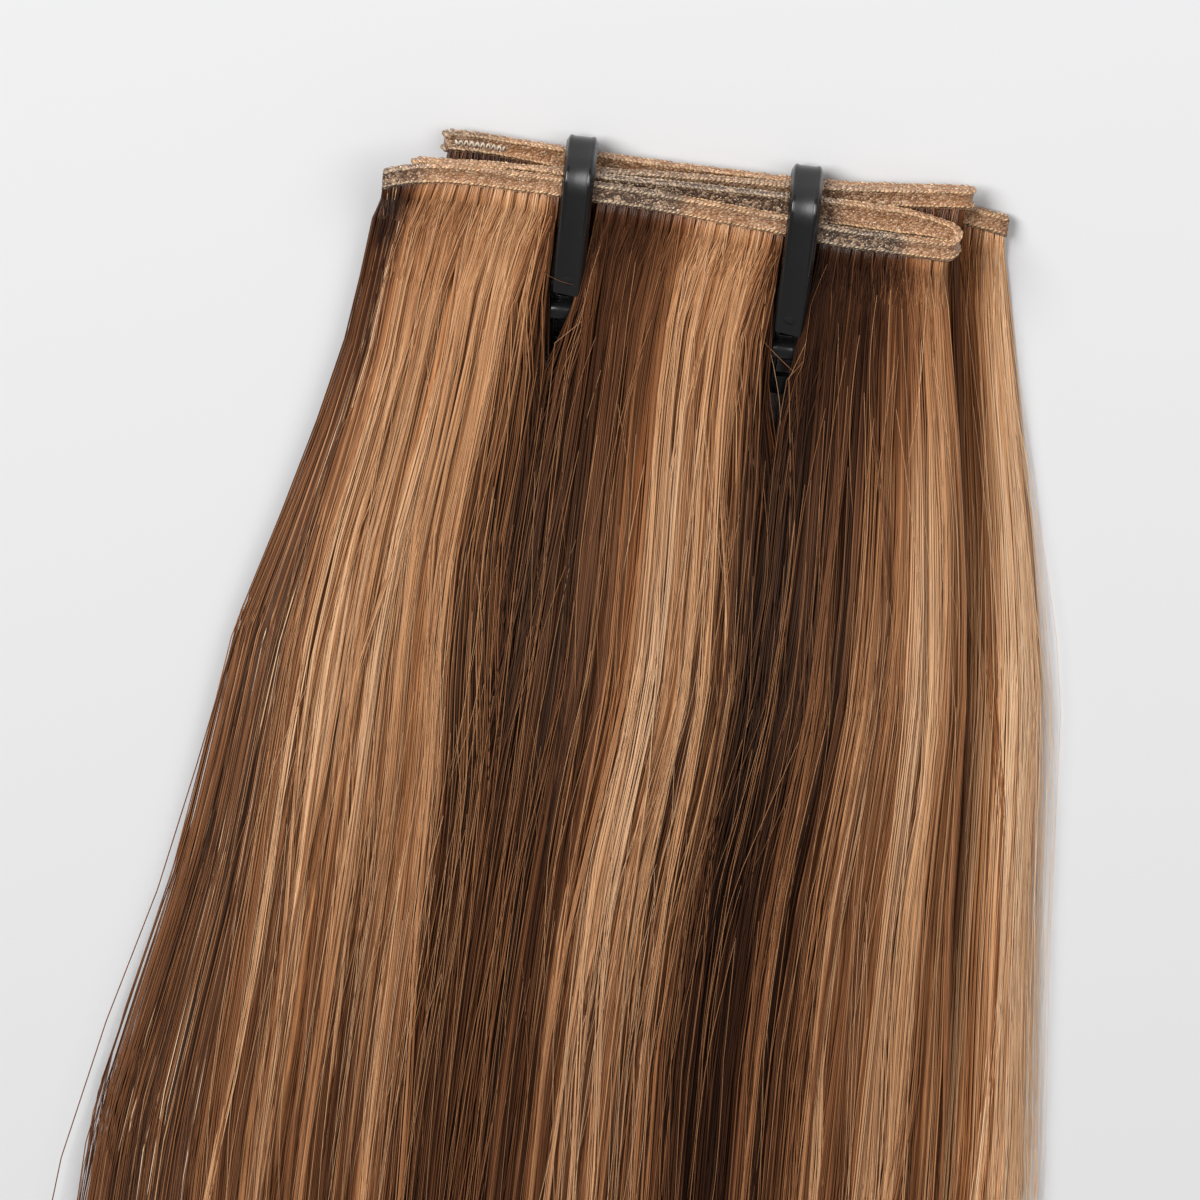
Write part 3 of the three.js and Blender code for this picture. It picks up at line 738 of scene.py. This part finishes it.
def growStrands(layer, tuftX):
    count = len(tuftX)
    rootX = tuftX + rng.uniform(-1, 1, count) * strands["tuftWidth"]
    freeX = rootX + rng.uniform(-1, 1, count) * (strands["tuftReach"] - strands["tuftWidth"])
    rootDrop = (stack["bandHeight"] - strands["rootCover"] - riseAt(layer, tuftX))[:, None]
    step = np.linspace(0, 1, strands["stations"][layer]) ** strands["crowding"]
    drop = rootDrop + (rng.uniform(*strands["length"], (count, 1)) - rootDrop) * step

    def down(limits):
        return smoothStep(drop, *limits)

    opened = smoothStep(drop - rootDrop, *strands["tuftOpens"])
    x = fanned(mix(rootX[:, None], freeX[:, None], opened), drop, layer)

    path, relief, tone = wispPaths(layer, x, freeX, drop)
    taken, crossPath, crossRelief, crossTone = crossPaths(layer, freeX, drop)
    path = np.where(taken[:, None], crossPath, path)
    x = mix(x, path, down(wisps["gathersAt"]))
    relief = np.where(taken[:, None], crossRelief, relief) * down(strands["reliefDrop"])
    tone = np.clip(np.where(taken, crossTone, tone), *wisps["toneRange"])
    shift, moved = closeOver(layer, freeX, drop)
    x += shift

    # every strand wavers a little by itself, and a few stray
    reach, wave, limits = strands["wobble"]
    wave = np.sin(drop / rng.uniform(*wave, (count, 1)) + rng.uniform(*phases, (count, 1)))
    x += reach * wave * down(limits)
    share, reach, limits = strands["stray"]
    stray = rng.random(count) < share
    x += np.where(stray, rng.normal(0, reach, count), 0)[:, None] * down(limits)
    lift, limits = strands["strayLift"]
    relief += np.where(stray, rng.uniform(*lift, count), 0)[:, None] * down(limits)
    x, byParting = partAround(layer, tuftX, freeX, x, drop)

    depth = rng.random((count, 1)) ** strands["depthPower"][layer]
    pitch = stackHeight(x, drop, 1.0)
    lying = hairTop(layer, freeX[:, None], x, drop) - strands["sunk"]
    lying -= depth * np.maximum(pitch - 0.5, 0.2) * strands["depthShare"]
    lying += strands["reliefShare"][layer] * relief * pitch / fan["pitch"][0]
    root = heightAt(layer, rootX)[:, None] + rng.uniform(*strands["rootSpread"], (count, 1))
    z = np.maximum(mix(root, lying, down(fan["settle"])), strands["lowest"])
    radii = rng.uniform(*strands["radius"], (count, 1)) * np.interp(step, *strands["taper"])
    colours = strandColours(layer, freeX, drop, rootDrop, tone, byParting, moved)
    return np.stack([x, -drop, z], -1), radii, colours


def strandPieces():
    names = ["Top", "Second", "Third", "Fourth", "Lowest"]
    clipMiddles = [middle for middle, _, _ in clipSpots.values()]
    for layer, name in enumerate(names):
        left, right = hairEnds(layer)
        fromLeft, fromRight = strands["tuftInset"]
        tufts = np.arange(left + fromLeft, right - fromRight, strands["tuftPitch"])
        away = np.min([np.abs(tufts - middle) for middle in clipMiddles], axis=0)
        clear = away > strands["clipGap"]
        tufts, away = tufts[clear], away[clear]
        number = np.full(len(tufts), strands["perTuft"][layer])
        near, times = strands["partingTimes"]
        if layer == 1:
            number[away < near] *= times
        outer, times = strands["leftTimes"]
        number[:outer] *= times
        outer, times = strands["rightTimes"][layer]
        number[-outer:] = number[-outer:] * times
        tuftX = np.repeat(tufts + rng.uniform(-1, 1, len(tufts)) * strands["tuftShift"], number)
        paths, radii, colours = growStrands(layer, tuftX)
        panel = np.digitize(tuftX, clipMiddles) if layer == 0 else np.zeros(len(tuftX), int)
        for side in np.unique(panel):
            pick = panel == side
            label = f"hairStrands{name}{['Left', 'Middle', 'Right'][side] if layer == 0 else ''}"
            mesh = tubes(paths[pick], radii[pick], colours[pick], label)
            finishPiece(label, mesh, [strandMaterial])
            print(label, pick.sum(), "strands")


# The mass of hair under the strands, one body a layer in three panels

mass = {
    "across": 16,
    "along": 24,
    "crowding": 1.7,
    "inset": 0.4,  # from the ends of a layer
    "partingGap": 0.5,
    "rootDrop": 0.3,
    "endDrop": 462.0,
    "ragged": ((13.0, 1.7), (8.0, 4.1)),  # waves of its uneven end
    "joins": (0.75, (70, 150)),  # how far the top layer's panels join below the clips
    "rootSunk": 0.1,
    "rootDepth": 0.6,
    "lowered": 0.95,  # below the layer's upper side
    "thinned": 1.25,
    "leastDepth": 0.15,
    "flow": (4.0, 0.03, 7.0),
    # painted shade: the hair underneath is darker near the band and further down
    "paintedRootShade": (0.7, (4, 14)),
    "paintedShade": (0.86, 0.78),
    "paintedShadeDrop": (40, 150),
    "tint": np.array([1.08, 0.94, 0.8]),
}


def hairMass(layer):
    left, right = hairEnds(layer)
    (leftClip, _, leftLower), (rightClip, _, rightLower) = clipSpots.values()
    gap = fan["parting"] + mass["partingGap"]
    panels = [
        (left + mass["inset"], leftClip - gap, None, leftClip),
        (leftClip + gap, rightClip - gap, leftClip, rightClip),
        (rightClip + gap, right - mass["inset"], rightClip, None),
    ]
    lowers = {leftClip: leftLower, rightClip: rightLower}
    bm = bmesh.new()
    flow = bm.verts.layers.float_vector.new("hairFlow")  # across and along the hair, for its streaks
    for fromX, toX, fromClip, toClip in panels:
        made = bmesh.ops.create_grid(bm, x_segments=mass["across"], y_segments=mass["along"], size=0.5)
        for vert in made["verts"]:
            share, down = vert.co.x + 0.5, (0.5 - vert.co.y) ** mass["crowding"]
            rootX = mix(fromX, toX, share)
            rootDrop = stack["bandHeight"] + mass["rootDrop"] - riseAt(layer, rootX)
            (far, beat), (near, quick) = mass["ragged"]
            ragged = far * math.sin(rootX * beat + layer) + near * math.sin(rootX * quick)
            drop = mix(rootDrop, mass["endDrop"] + ragged, down)
            ends = [fanned(np.asarray(end), drop, layer) for end in (fromX, toX)]
            middle = fanned(np.asarray(rootX), drop, layer) - mix(*ends, share)
            for i, clip in enumerate((fromClip, toClip)):
                if clip is not None:
                    closed = smoothStep(drop - lowers[clip], *partings["massCloses"][layer])
                    held = min(ends[i], toX) if i else max(ends[i], fromX)
                    joined = fanned(np.asarray(clip), drop, layer)
                    if layer == 0:
                        most, limits = mass["joins"]
                        joined = mix(ends[i], joined, most * smoothStep(drop, *limits))
                    ends[i] = mix(held, joined, closed)
            x = float(mix(*ends, share) + middle)
            settled = smoothStep(drop, *fan["settle"])
            lying = hairTop(layer, rootX, x, drop) - mass["lowered"]
            root = heightAt(layer, rootX) - mass["rootSunk"]
            vert.co = (x, -drop, max(float(mix(root, lying, settled)), 0.25))
            vert[flow] = Vector((rootX, drop, layer)) * Vector(mass["flow"])
        # the lower side, as deep as the layer and thinner at its outer edges
        sheet = linked(made["verts"], "link_faces")
        lower = bmesh.ops.extrude_face_region(bm, geom=sheet, use_keep_orig=True)
        for vert in (part for part in lower["geom"] if isinstance(part, bmesh.types.BMVert)):
            drop = -vert.co.y
            full = stackHeight(vert.co.x, drop, 1.0) - mass["thinned"]
            depth = mix(mass["rootDepth"], full, smoothStep(drop, *fan["settle"]))
            vert.co.z = max(vert.co.z - max(float(depth), mass["leastDepth"]), 0.05)
    bmesh.ops.recalc_face_normals(bm, faces=bm.faces)
    mesh, places = meshFrom(f"hairMass{layer + 1}", bm)
    rootX = np.array([vert.vector.x for vert in mesh.attributes["hairFlow"].data]) / mass["flow"][0]
    # painted shade on the hair underneath, near the band and further down
    darkest, limits = mass["paintedRootShade"]
    shade = mix(darkest, 1.0, smoothStep(-places[:, 1], *limits))
    shade = shade * mix(*mass["paintedShade"], smoothStep(-places[:, 1], *mass["paintedShadeDrop"]))
    paint(mesh, hairColour(lightness(layer, rootX)) * shade[:, None] * mass["tint"])
    finishPiece(mesh.name, mesh, [coreMaterial], [f"hair_layer_{layer + 1}"])


for layer in range(5):
    hairMass(layer)
print("hair bodies made")
strandPieces()

# Loose hairs at the edges and across the top

looseHairs = {
    "count": 560,
    "radius": (0.04, 0.06),
    "taper": ([0, 0.1, 0.7, 1], [0.5, 1, 0.9, 0.4]),
    "stations": 13,
    "startDrop": (9.0, 200.0),
    "endDrop": 495.0,
    "length": (40.0, 160.0),
    "inset": 4.0,
    "drift": 3.0,
    "bend": 1.5,
    "clipGap": (34.0, 3.4),  # as far down as this, and how far from a clip's middle
    "lift": (0.1, 0.7),
    "veil": 130,  # of them, how many lie outside the two long edges
    "veilOnLeft": 0.2,
    "veilInset": 1.2,
    "veilDrift": 1.2,
    "veilOutward": (-0.7, 1.5),  # a share of it on the left
    "veilReach": (2.5, 4.0),
    "veilHeight": (0.5, 2.5),
    "overRadius": 0.05,
    # over the clips' tails: x and drop of both ends, height and lightness
    "overTails": [
        (14.0, 31, 25.5, 42, 11.6, 0.66), (17.5, 35, 21.5, 56, 11, 0.8), (-28.5, 20, -17.0, 24, 13.2, 0.45),
    ],
}


def looseHairPiece():
    shape, count = looseHairs, looseHairs["count"]
    veil = np.arange(count) < shape["veil"]
    left, right = hairEnds(0)[0], hairEnds(4)[1]
    onLeft = rng.random(count) < shape["veilOnLeft"]
    fromLeft = left + shape["veilInset"] + rng.exponential(1.0, count)
    atEdge = np.where(onLeft, fromLeft, right - rng.exponential(1.2, count))
    rootX = np.where(veil, atEdge, rng.uniform(left + shape["inset"], right - shape["inset"], count))
    step = np.linspace(0, 1, shape["stations"])
    start = rng.uniform(*shape["startDrop"], count)[:, None]
    length = rng.uniform(*shape["length"], count) * np.where(veil, 2.0, 1.0)
    drop = np.minimum(start + length[:, None] * step, shape["endDrop"])
    x = fanned(rootX[:, None] * np.ones_like(drop), drop)
    leftShare, reach = shape["veilOutward"]
    outward = np.where(veil, np.where(onLeft, leftShare, 1) * rng.exponential(reach, count), 0.0)
    veilDrift = rng.normal(0, shape["veilDrift"], count)
    drift = np.where(veil, veilDrift, rng.normal(0, shape["drift"], count))
    arch = np.sin(math.pi * step)
    x += rng.normal(0, shape["bend"], (count, 1)) * arch
    x += outward[:, None] * np.sin(math.pi * step * 0.75) + drift[:, None] * (step - 0.3)
    toDrop, gap = shape["clipGap"]
    for middle, _, lower in clipSpots.values():
        half = np.where(drop - lower < toDrop, gap, noLimit)
        x = np.where((rootX < middle)[:, None], np.minimum(x, middle - half), np.maximum(x, middle + half))
    leftReach, rightReach = shape["veilReach"]
    x = np.clip(x, -outerEdge(-1.0, drop) - leftReach, outerEdge(1.0, drop) + rightReach)

    over = smoothStep(np.abs(x) / outerEdge(x, drop), 0.93, 1.02)
    lying = hairTop(0, rootX[:, None], x, drop) + rng.uniform(*shape["lift"], (count, 1))
    z = mix(lying, rng.uniform(*shape["veilHeight"], (count, 1)), over)
    z = mix(heightAt(0, rootX)[:, None], z, smoothStep(drop, *fan["settle"]))
    onLowest = (rootX > 47)[:, None]  # beyond the top layer's right end
    z = np.where(onLowest, np.minimum(z, mix(2.6, 4.0, smoothStep(drop, 10, 60))), z)
    light = np.where(rootX < left + 8, 0.62, np.where(veil, 1.0, 0.74)) + rng.normal(0, 0.1, count)
    # loose hairs across the top take half the stripe's colour and are painted lighter, as glints on single
    # hairs
    light = np.where(veil, light, 0.5 * light + 0.5 * lightness(0, rootX) + 0.16)
    colours = hairColour(light)[:, None] * np.ones((1, shape["stations"], 1))
    radii = rng.uniform(*shape["radius"], (count, 1)) * np.interp(step, *shape["taper"])

    columns = np.array(shape["overTails"]).T[:, :, None]
    fromX, fromDrop, toX, toDrop, height, light = columns
    places = [mix(fromX, toX, step) + arch, -mix(fromDrop, toDrop, step), height - 2.2 + 2.2 * arch]
    paths = np.concatenate([np.stack([x, -drop, z], -1), np.stack(places, -1)])
    colours = np.concatenate([colours, np.repeat(hairColour(light), shape["stations"], axis=1)])
    radii = np.concatenate([radii, np.full((len(fromX), shape["stations"]), shape["overRadius"])])
    mesh = tubes(paths, radii, colours, "looseHairs")
    finishPiece("looseHairs", mesh, [strandMaterial])


looseHairPiece()
print("loose hairs made")

# The folded band

band = {
    # across the thickness and down from the upper edge: a roll at the top and one near the bottom
    "profile": [
        (0.0, 0.0), (0.38, -0.1), (0.6, -0.42), (0.6, -0.8), (0.44, -1.15), (0.4, -2.2), (0.44, -2.9),
        (0.56, -3.2), (0.58, -3.55), (0.44, -3.85), (0.36, -4.25), (0.2, -4.4),
    ],
    "stepLength": 3.0,
    "foldSteps": 9,
    "wave": 0.1,
    "light": linear(153, 108, 74),
    "dark": linear(60, 48, 42),
    # how far each layer is of the light colour, at places along it
    "tone": [
        [(-56, 0.1), (-50, 0.35), (-46, 1), (-24, 1), (-17, 0.1), (-3, 0.15), (1, 1), (17, 0.9), (24, 0.05),
         (38, 0.1), (41, 0.9), (48, 1)],
        [(-50, 1), (-24, 0.9), (-17, 0.1), (17, 0.15), (25, 0.2), (29, 0.9), (48, 1)],
        [(-50, 0.8), (-24, 0.6), (-17, 0.3), (0, 0.5), (17, 0.6), (24, 0.4), (36, 0.7), (44, 1)],
        [(-44, 0.35), (-38, 0.5), (-33, 1), (-24, 1), (-17, 0.8), (17, 1), (50, 1)],
        [(-44, 1), (58, 1)],
    ],
    # how much further down each layer reaches behind the one over it, below its upper roll
    "rollDepth": 1.15,
    "deeper": [
        [(0, 0)],
        [(-47, 0), (-42, 1.4), (38, 2), (46, 0)],
        [(-47, 0), (-42, 1.6), (14, 2), (27, 0)],
        [(-30, 0), (-18, 2), (26, 2), (34, 0)],
        [(0, 0)],
    ],
}


def bandShare(table, layer, x):
    return float(np.interp(x, *zip(*band[table][layer])))


def belowRoll(down):  # the share of a layer's height below its upper roll
    roll = band["rollDepth"]
    return np.clip((-roll - down) / (stack["bandHeight"] - roll), 0, 1)


def bandLine():  # place, height, upper edge, heading and layer at each step along the folded band
    steps = []
    for layer in range(5):
        toRight = layer % 2 == 0
        left, right = bandEnds(layer)
        runs = np.linspace(left, right, round((right - left) / band["stepLength"]))
        for x in runs if toRight else runs[::-1]:
            steps.append((x, heightAt(layer, x), riseAt(layer, x), 0.0 if toRight else math.pi, layer))
        if layer == 4:
            break
        foldX, sense = (right, 1) if toRight else (left, -1)
        radius = foldRadius(layer, layer + 1, int(toRight))
        for s in range(1, band["foldSteps"]):
            turn = math.pi * s / band["foldSteps"]
            x = foldX + sense * radius * math.sin(turn)
            z = heightAt(layer, foldX) - radius + radius * math.cos(turn)
            rise = mix(riseAt(layer, foldX), riseAt(layer + 1, foldX), s / band["foldSteps"])
            steps.append((x, z, rise, -turn if toRight else math.pi + turn, layer))
    return steps


def bandPiece(steps):
    half = band["profile"]
    profile = half + [(-across, down) for across, down in reversed(half[1:])]
    rings, light = [], []
    for i, (x, z, rise, heading, layer) in enumerate(steps):
        across = Vector((-math.sin(heading), 0, math.cos(heading)))
        wobble = band["wave"] * math.sin(i * 0.7) * math.sin(i * 0.23)
        deeper = bandShare("deeper", layer, x)
        rings.append([
            Vector((x, rise + wobble + down - deeper * belowRoll(down), z)) + across * depth
            for depth, down in profile
        ])
        light.append(bandShare("tone", layer, x))
    bm = bmesh.new()
    loft(bm, rings)
    mesh, _ = meshFrom("weftBand", bm)
    share = np.repeat(light, len(profile))[:, None]
    paint(mesh, mix(band["dark"], band["light"], share))
    finishPiece("weftBand", mesh, [bandMaterial], ["weft_band"])


stitches = {
    "pitch": 0.78,
    "length": 0.95,
    "radius": 0.29,
    "rows": [(-0.3, 0.52), (-3.4, 0.58)],  # down from the upper edge, and how far out from the middle
    "stations": 4,
    "light": linear(192, 154, 114),
    "dark": linear(158, 140, 118),
    # white thread on the fourth layer's left end: from, to and how many slants
    "zigzag": (-43.0, -34.5, 18),
    "white": linear(204, 188, 168),
}


def stitchPiece(steps):
    places = np.array([(x, z, rise) for x, z, rise, _, _ in steps])
    heading = np.unwrap([step[3] for step in steps])
    light = np.array([bandShare("tone", step[4], step[0]) for step in steps])
    deeper = np.array([bandShare("deeper", step[4], step[0]) for step in steps])
    travelled = np.concatenate([[0], np.cumsum(np.hypot(np.diff(places[:, 0]), np.diff(places[:, 1])))])
    at = np.arange(0.6, travelled[-1] - 0.6, stitches["pitch"])
    x, z, rise = (np.interp(at, travelled, places[:, i]) for i in range(3))
    turn = np.interp(at, travelled, heading)[:, None]
    share = np.linspace(-0.5, 0.5, stitches["stations"])
    run = share * stitches["length"]
    deeper = np.interp(at, travelled, deeper)
    tint = mix(stitches["dark"], stitches["light"], np.interp(at, travelled, light)[:, None])
    paths, colours = [], []
    for down, depth in stitches["rows"]:
        for sense in (1, -1):
            slant = rng.normal(0.4, 0.12, (len(at), 1))
            bulge = (depth + 0.04 - 0.16 * np.abs(share) ** 2) * sense
            px = x[:, None] + np.cos(turn) * run - np.sin(turn) * bulge
            pz = z[:, None] + np.sin(turn) * run + np.cos(turn) * bulge
            lower = down - deeper * belowRoll(down)
            py = (rise + lower + rng.normal(0, 0.04, len(at)))[:, None] + slant * run
            paths.append(np.stack([px, py, pz], -1))
            colours.append(tint * rng.uniform(0.6, 1.15, (len(at), 1)))
    fromX, toX, slants = stitches["zigzag"]
    px = np.linspace(fromX, toX, slants)[:, None] + share * (toX - fromX) / slants
    py = riseAt(3, px) - 2.1 + 1.3 * share * np.where(np.arange(slants) % 2, 1, -1)[:, None]
    paths.append(np.stack([px, py, heightAt(3, px) + 0.5], -1))
    colours.append(stitches["white"] * rng.uniform(0.75, 1.0, (slants, 1)))
    paths, colours = np.concatenate(paths), np.concatenate(colours)
    radii = stitches["radius"] * rng.uniform(0.8, 1.2, (len(paths), 1)) * np.array([0.5, 1.0, 1.0, 0.5])
    colours = np.repeat(colours[:, None], stitches["stations"], axis=1)
    mesh = tubes(paths, radii, colours, "bandStitches")
    finishPiece("bandStitches", mesh, [threadMaterial])


bandSteps = bandLine()
bandPiece(bandSteps)
stitchPiece(bandSteps)
print("band made")

# The clips

clipShape = {
    # side view of the strap's centre line: y, z and the radius of the bend
    "corners": [
        (-26.0, 11.0, 0), (-6.5, 15.7, 12), (4.4, 15.7, 4.5), (4.4, 0.8, 6.5), (-6.5, 0.8, 4),
        (-15.0, 7.6, 5), (-45.0, 4.8, 0),
    ],
    "width": 5.8,
    "draft": 0.4,
    "thickness": 1.6,
    "rim": 0.7,
    "rimHeight": 0.16,
    "plainRimHeight": 0.1,  # on the pad and the tail
    "softEdge": 0.45,
    "twist": math.radians(9),
    "twistHeldTo": 28.0,
    "twistGoneBy": 42.0,
    "padLength": 17.4,
    "padExtra": 0.5,
    "tailLength": 28.0,
    "tailWidth": 4.6,
    "railWidth": 1.0,
    "railLength": 19.0,
    "windowsFrom": 18.5,  # from the tail's end, like the blocks between its windows
    "blocks": [(0.0, 4.3), (8.9, 14.8), (18.0, 20.5)],
    "barRadius": 1.9,
    "barLength": 5.6,
    "barFromEnd": 12.2,
    "barRise": 1.5,
    "bendSteps": 12,
    "stepLength": 1.0,
    "markRadius": 1.2,
    "markFromEnd": 4.4,
}


def roundedLine(corners):
    points = [Vector(corners[0][:2])]
    for before, here, after in zip(corners, corners[1:], corners[2:]):
        corner = Vector(here[:2])
        back, on = (Vector(before[:2]) - corner).normalized(), (Vector(after[:2]) - corner).normalized()
        half = back.angle(on) / 2
        middle = corner + (back + on).normalized() * here[2] / math.sin(half)
        start = corner + back * here[2] / math.tan(half) - middle
        sense = 1 if (-back).cross(on) > 0 else -1
        for s in range(clipShape["bendSteps"] + 1):
            angle = sense * (math.pi - 2 * half) * s / clipShape["bendSteps"]
            points.append(middle + Matrix.Rotation(angle, 2) @ start)
    return points + [Vector(corners[-1][:2])]


def evenLine(points):  # the same line with short steps, each with its distance along
    line = [(0.0, points[0])]
    for before, here in zip(points, points[1:]):
        at, length = line[-1][0], (here - before).length
        pieces = max(1, round(length / clipShape["stepLength"]))
        line += [(at + length * s / pieces, before.lerp(here, s / pieces)) for s in range(1, pieces + 1)]
    return line


def strapSection(width, rimHeight, extra):
    inner, depth, soft = width / 2, clipShape["thickness"] / 2, clipShape["softEdge"]
    outer = inner - clipShape["draft"]
    rim = outer - clipShape["rim"]
    half = [
        (0.0, -depth + rimHeight), (rim - 0.35, -depth + rimHeight), (rim - 0.1, -depth + rimHeight * 0.55),
        (rim + 0.1, -depth + 0.02), (outer - soft, -depth), (outer - soft * 0.3, -depth + soft * 0.3),
        (outer, -depth + soft), (inner, depth + extra - soft),
        (inner - soft * 0.3, depth + extra - soft * 0.3), (inner - soft, depth + extra),
    ]
    return [Vector(place) for place in half] + [Vector((-x, d)) for x, d in reversed(half[1:])]


def tailPiece(bm, middle, line):  # two rails with blocks between them, and the round bar on top
    shape = clipShape
    end, along = line[-1][1], (line[-1][1] - line[-2][1]).normalized()
    up = Vector((-along.y, along.x)) * (1 if along.x > 0 else -1)
    heading = Matrix(((1, 0, 0), (0, along.x, up.x), (0, along.y, up.y))).to_4x4()
    tailEnd = Matrix.Translation((middle, end.x, end.y)) @ heading
    bevel = {"affect": "EDGES", "profile": 0.5, "material": -1}
    side, rail = (shape["tailWidth"] - shape["railWidth"]) / 2, shape["railLength"]
    solids = [(x, rail / 2, shape["railWidth"], rail) for x in (-side, side)]
    solids += [(0.0, (low + high) / 2, shape["tailWidth"] - 0.8, high - low) for low, high in shape["blocks"]]
    for x, fromEnd, wide, length in solids:
        size = Matrix.Diagonal((wide, length, shape["thickness"] * (1 if x else 0.94), 1))
        place = tailEnd @ Matrix.Translation((x, -fromEnd, 0))
        made = bmesh.ops.create_cube(bm, size=1.0, matrix=place @ size)
        bmesh.ops.bevel(bm, geom=linked(made["verts"], "link_edges"), offset=0.2, segments=2, **bevel)
    place = tailEnd @ Matrix.Translation((0, -shape["barFromEnd"], shape["barRise"]))
    made = bmesh.ops.create_cone(
        bm, cap_ends=True, segments=28, radius1=shape["barRadius"], radius2=shape["barRadius"],
        depth=shape["barLength"], matrix=place @ Matrix.Rotation(math.pi / 2, 4, "Y"))
    edges = linked(made["verts"], "link_edges")
    rims = [edge for edge in edges if abs(edge.verts[0].co.x - edge.verts[1].co.x) < 1e-4]
    bmesh.ops.bevel(bm, geom=rims, offset=0.4, segments=3, **bevel)


def clipPiece(node):
    middle, back, lower = clipSpots[node]
    shape = clipShape
    corners = [(y - (lower if y < 0 else back), z, radius) for y, z, radius in shape["corners"]]
    line = evenLine(roundedLine(corners))
    total = line[-1][0]
    rings = []
    for i, (at, point) in enumerate(line):
        if at > total - shape["windowsFrom"]:
            break
        heading = (line[i + 1][1] - line[max(i - 1, 0)][1]).normalized()
        onPad = at < shape["padLength"]
        onTail = float(smoothStep(at, total - shape["tailLength"] - 0.6, total - shape["tailLength"] + 0.6))
        width = mix(shape["width"], shape["tailWidth"], onTail)
        rimHeight = shape["plainRimHeight" if onPad or onTail > 0.5 else "rimHeight"]
        section = strapSection(width, rimHeight, shape["padExtra"] if onPad else 0)
        turn = -shape["twist"] * (1 - float(smoothStep(at, shape["twistHeldTo"], shape["twistGoneBy"])))
        turn = Matrix.Rotation(turn, 2)
        rings.append([
            Vector((middle + p.x, point.x + heading.y * p.y, point.y - heading.x * p.y))
            for p in (turn @ p for p in section)
        ])
    bm = bmesh.new()
    loft(bm, rings)
    tailPiece(bm, middle, line)

    # a shallow round moulding mark on the pad
    spot = line[round(shape["markFromEnd"] / shape["stepLength"])][1]
    along = (line[1][1] - line[0][1]).normalized()
    tilt = Matrix.Rotation(math.atan2(along.y, along.x), 4, "X") @ Matrix.Rotation(-shape["twist"], 4, "Y")
    out = Vector((-along.y, along.x)) * (shape["thickness"] / 2 - 0.1)
    place = Matrix.Translation((middle, spot.x + out.x, spot.y + out.y)) @ tilt
    radius = shape["markRadius"]
    bmesh.ops.create_cone(
        bm, cap_ends=True, segments=24, radius1=radius, radius2=radius * 0.92, depth=0.1, matrix=place)
    mesh, _ = meshFrom(node.replace("clip_", "tieClip_"), bm)
    padEnd = (corners[0][0] + shape["padLength"] * 0.97) * 0.001 + home[1]
    for face in mesh.polygons:
        onPad = face.center.y < padEnd and face.center.z > 0.0095
        between = abs(face.center.x - home[0] - middle * 0.001) < 0.0017 and face.center.z > 0.0095
        face.material_index = 1 if onPad or between else 0
    finishPiece(mesh.name, mesh, [glossPlastic, mattePlastic], [node])
    mesh.set_sharp_from_angle(angle=math.radians(50))


for node in clipSpots:
    clipPiece(node)
print("clips made")

# Floor, light and camera

studio = {
    "floor": (3.0, linear(204, 204, 205)),
    "world": 0.2,
    # size, power, place, aim
    "key": (2.0, 182.0, (-1.75, 2.3, 2.1), (0.0, 0.05, 0.0)),
    "fill": (2.1, 46.0, (1.2, 2.0, 2.0), (0.0, 0.05, 0.0)),
}


def floorPiece():
    size, colour = studio["floor"]
    bm = bmesh.new()
    bmesh.ops.create_grid(bm, x_segments=1, y_segments=1, size=size * 1000)
    floor = bpy.data.objects.new("floor", meshFrom("floor", bm)[0])
    material, _, _ = newMaterial("pale paper", Base_Color=(*colour, 1), Roughness=0.9, Specular_IOR_Level=0.1)
    floor.data.materials.append(material)
    bpy.context.scene.collection.objects.link(floor)


def softLight(name):
    size, power, place, aim = studio[name]
    lamp = bpy.data.lights.new(name, "AREA")
    lamp.shape, lamp.size, lamp.energy = "DISK", size, power
    light = bpy.data.objects.new(name, lamp)
    light.location = place
    light.rotation_euler = (Vector(aim) - Vector(place)).to_track_quat("-Z", "Y").to_euler()
    bpy.context.scene.collection.objects.link(light)


view = {
    "tilt": math.radians(40.0),  # from straight above, towards the band's side
    "roll": math.radians(6.4),
    "distance": 1.6,
    "scale": 0.18,  # millimetres a pixel of the 1200 pixel frame, at the band
    "anchor": ((0.0, 0.0, 13.6), (690.0, 200.0)),  # this point is seen at this pixel
}


def placeCamera():
    tilt, roll = view["tilt"], view["roll"]
    back = Vector((0, math.sin(tilt), math.cos(tilt)))
    flatUp = Vector((0, math.cos(tilt), -math.sin(tilt)))
    right = Vector((math.cos(roll), 0, 0)) + flatUp * math.sin(roll)
    up = flatUp * math.cos(roll) - Vector((math.sin(roll), 0, 0))
    point, (px, py) = view["anchor"]
    across, above = (px - 600) * view["scale"] * 0.001, (600 - py) * view["scale"] * 0.001
    place = Vector(toRow(point)) - right * across - up * above + back * view["distance"]
    camera = bpy.data.objects.new("camera", bpy.data.cameras.new("camera"))
    camera.data.sensor_width = 36.0
    camera.data.lens = 36.0 * view["distance"] / (1200 * view["scale"] * 0.001)
    camera.data.clip_end = 50.0
    camera.matrix_world = Matrix((right, up, back)).transposed().to_4x4()
    camera.location = place
    bpy.context.scene.collection.objects.link(camera)
    bpy.context.scene.camera = camera


floorPiece()
softLight("key")
softLight("fill")
world = bpy.data.worlds.new("studio")
world.use_nodes = True
world.node_tree.nodes["Background"].inputs["Color"].default_value = (1, 1, 1, 1)
world.node_tree.nodes["Background"].inputs["Strength"].default_value = studio["world"]
bpy.context.scene.world = world
bpy.context.scene.view_settings.view_transform = "Standard"
placeCamera()
print("studio made")
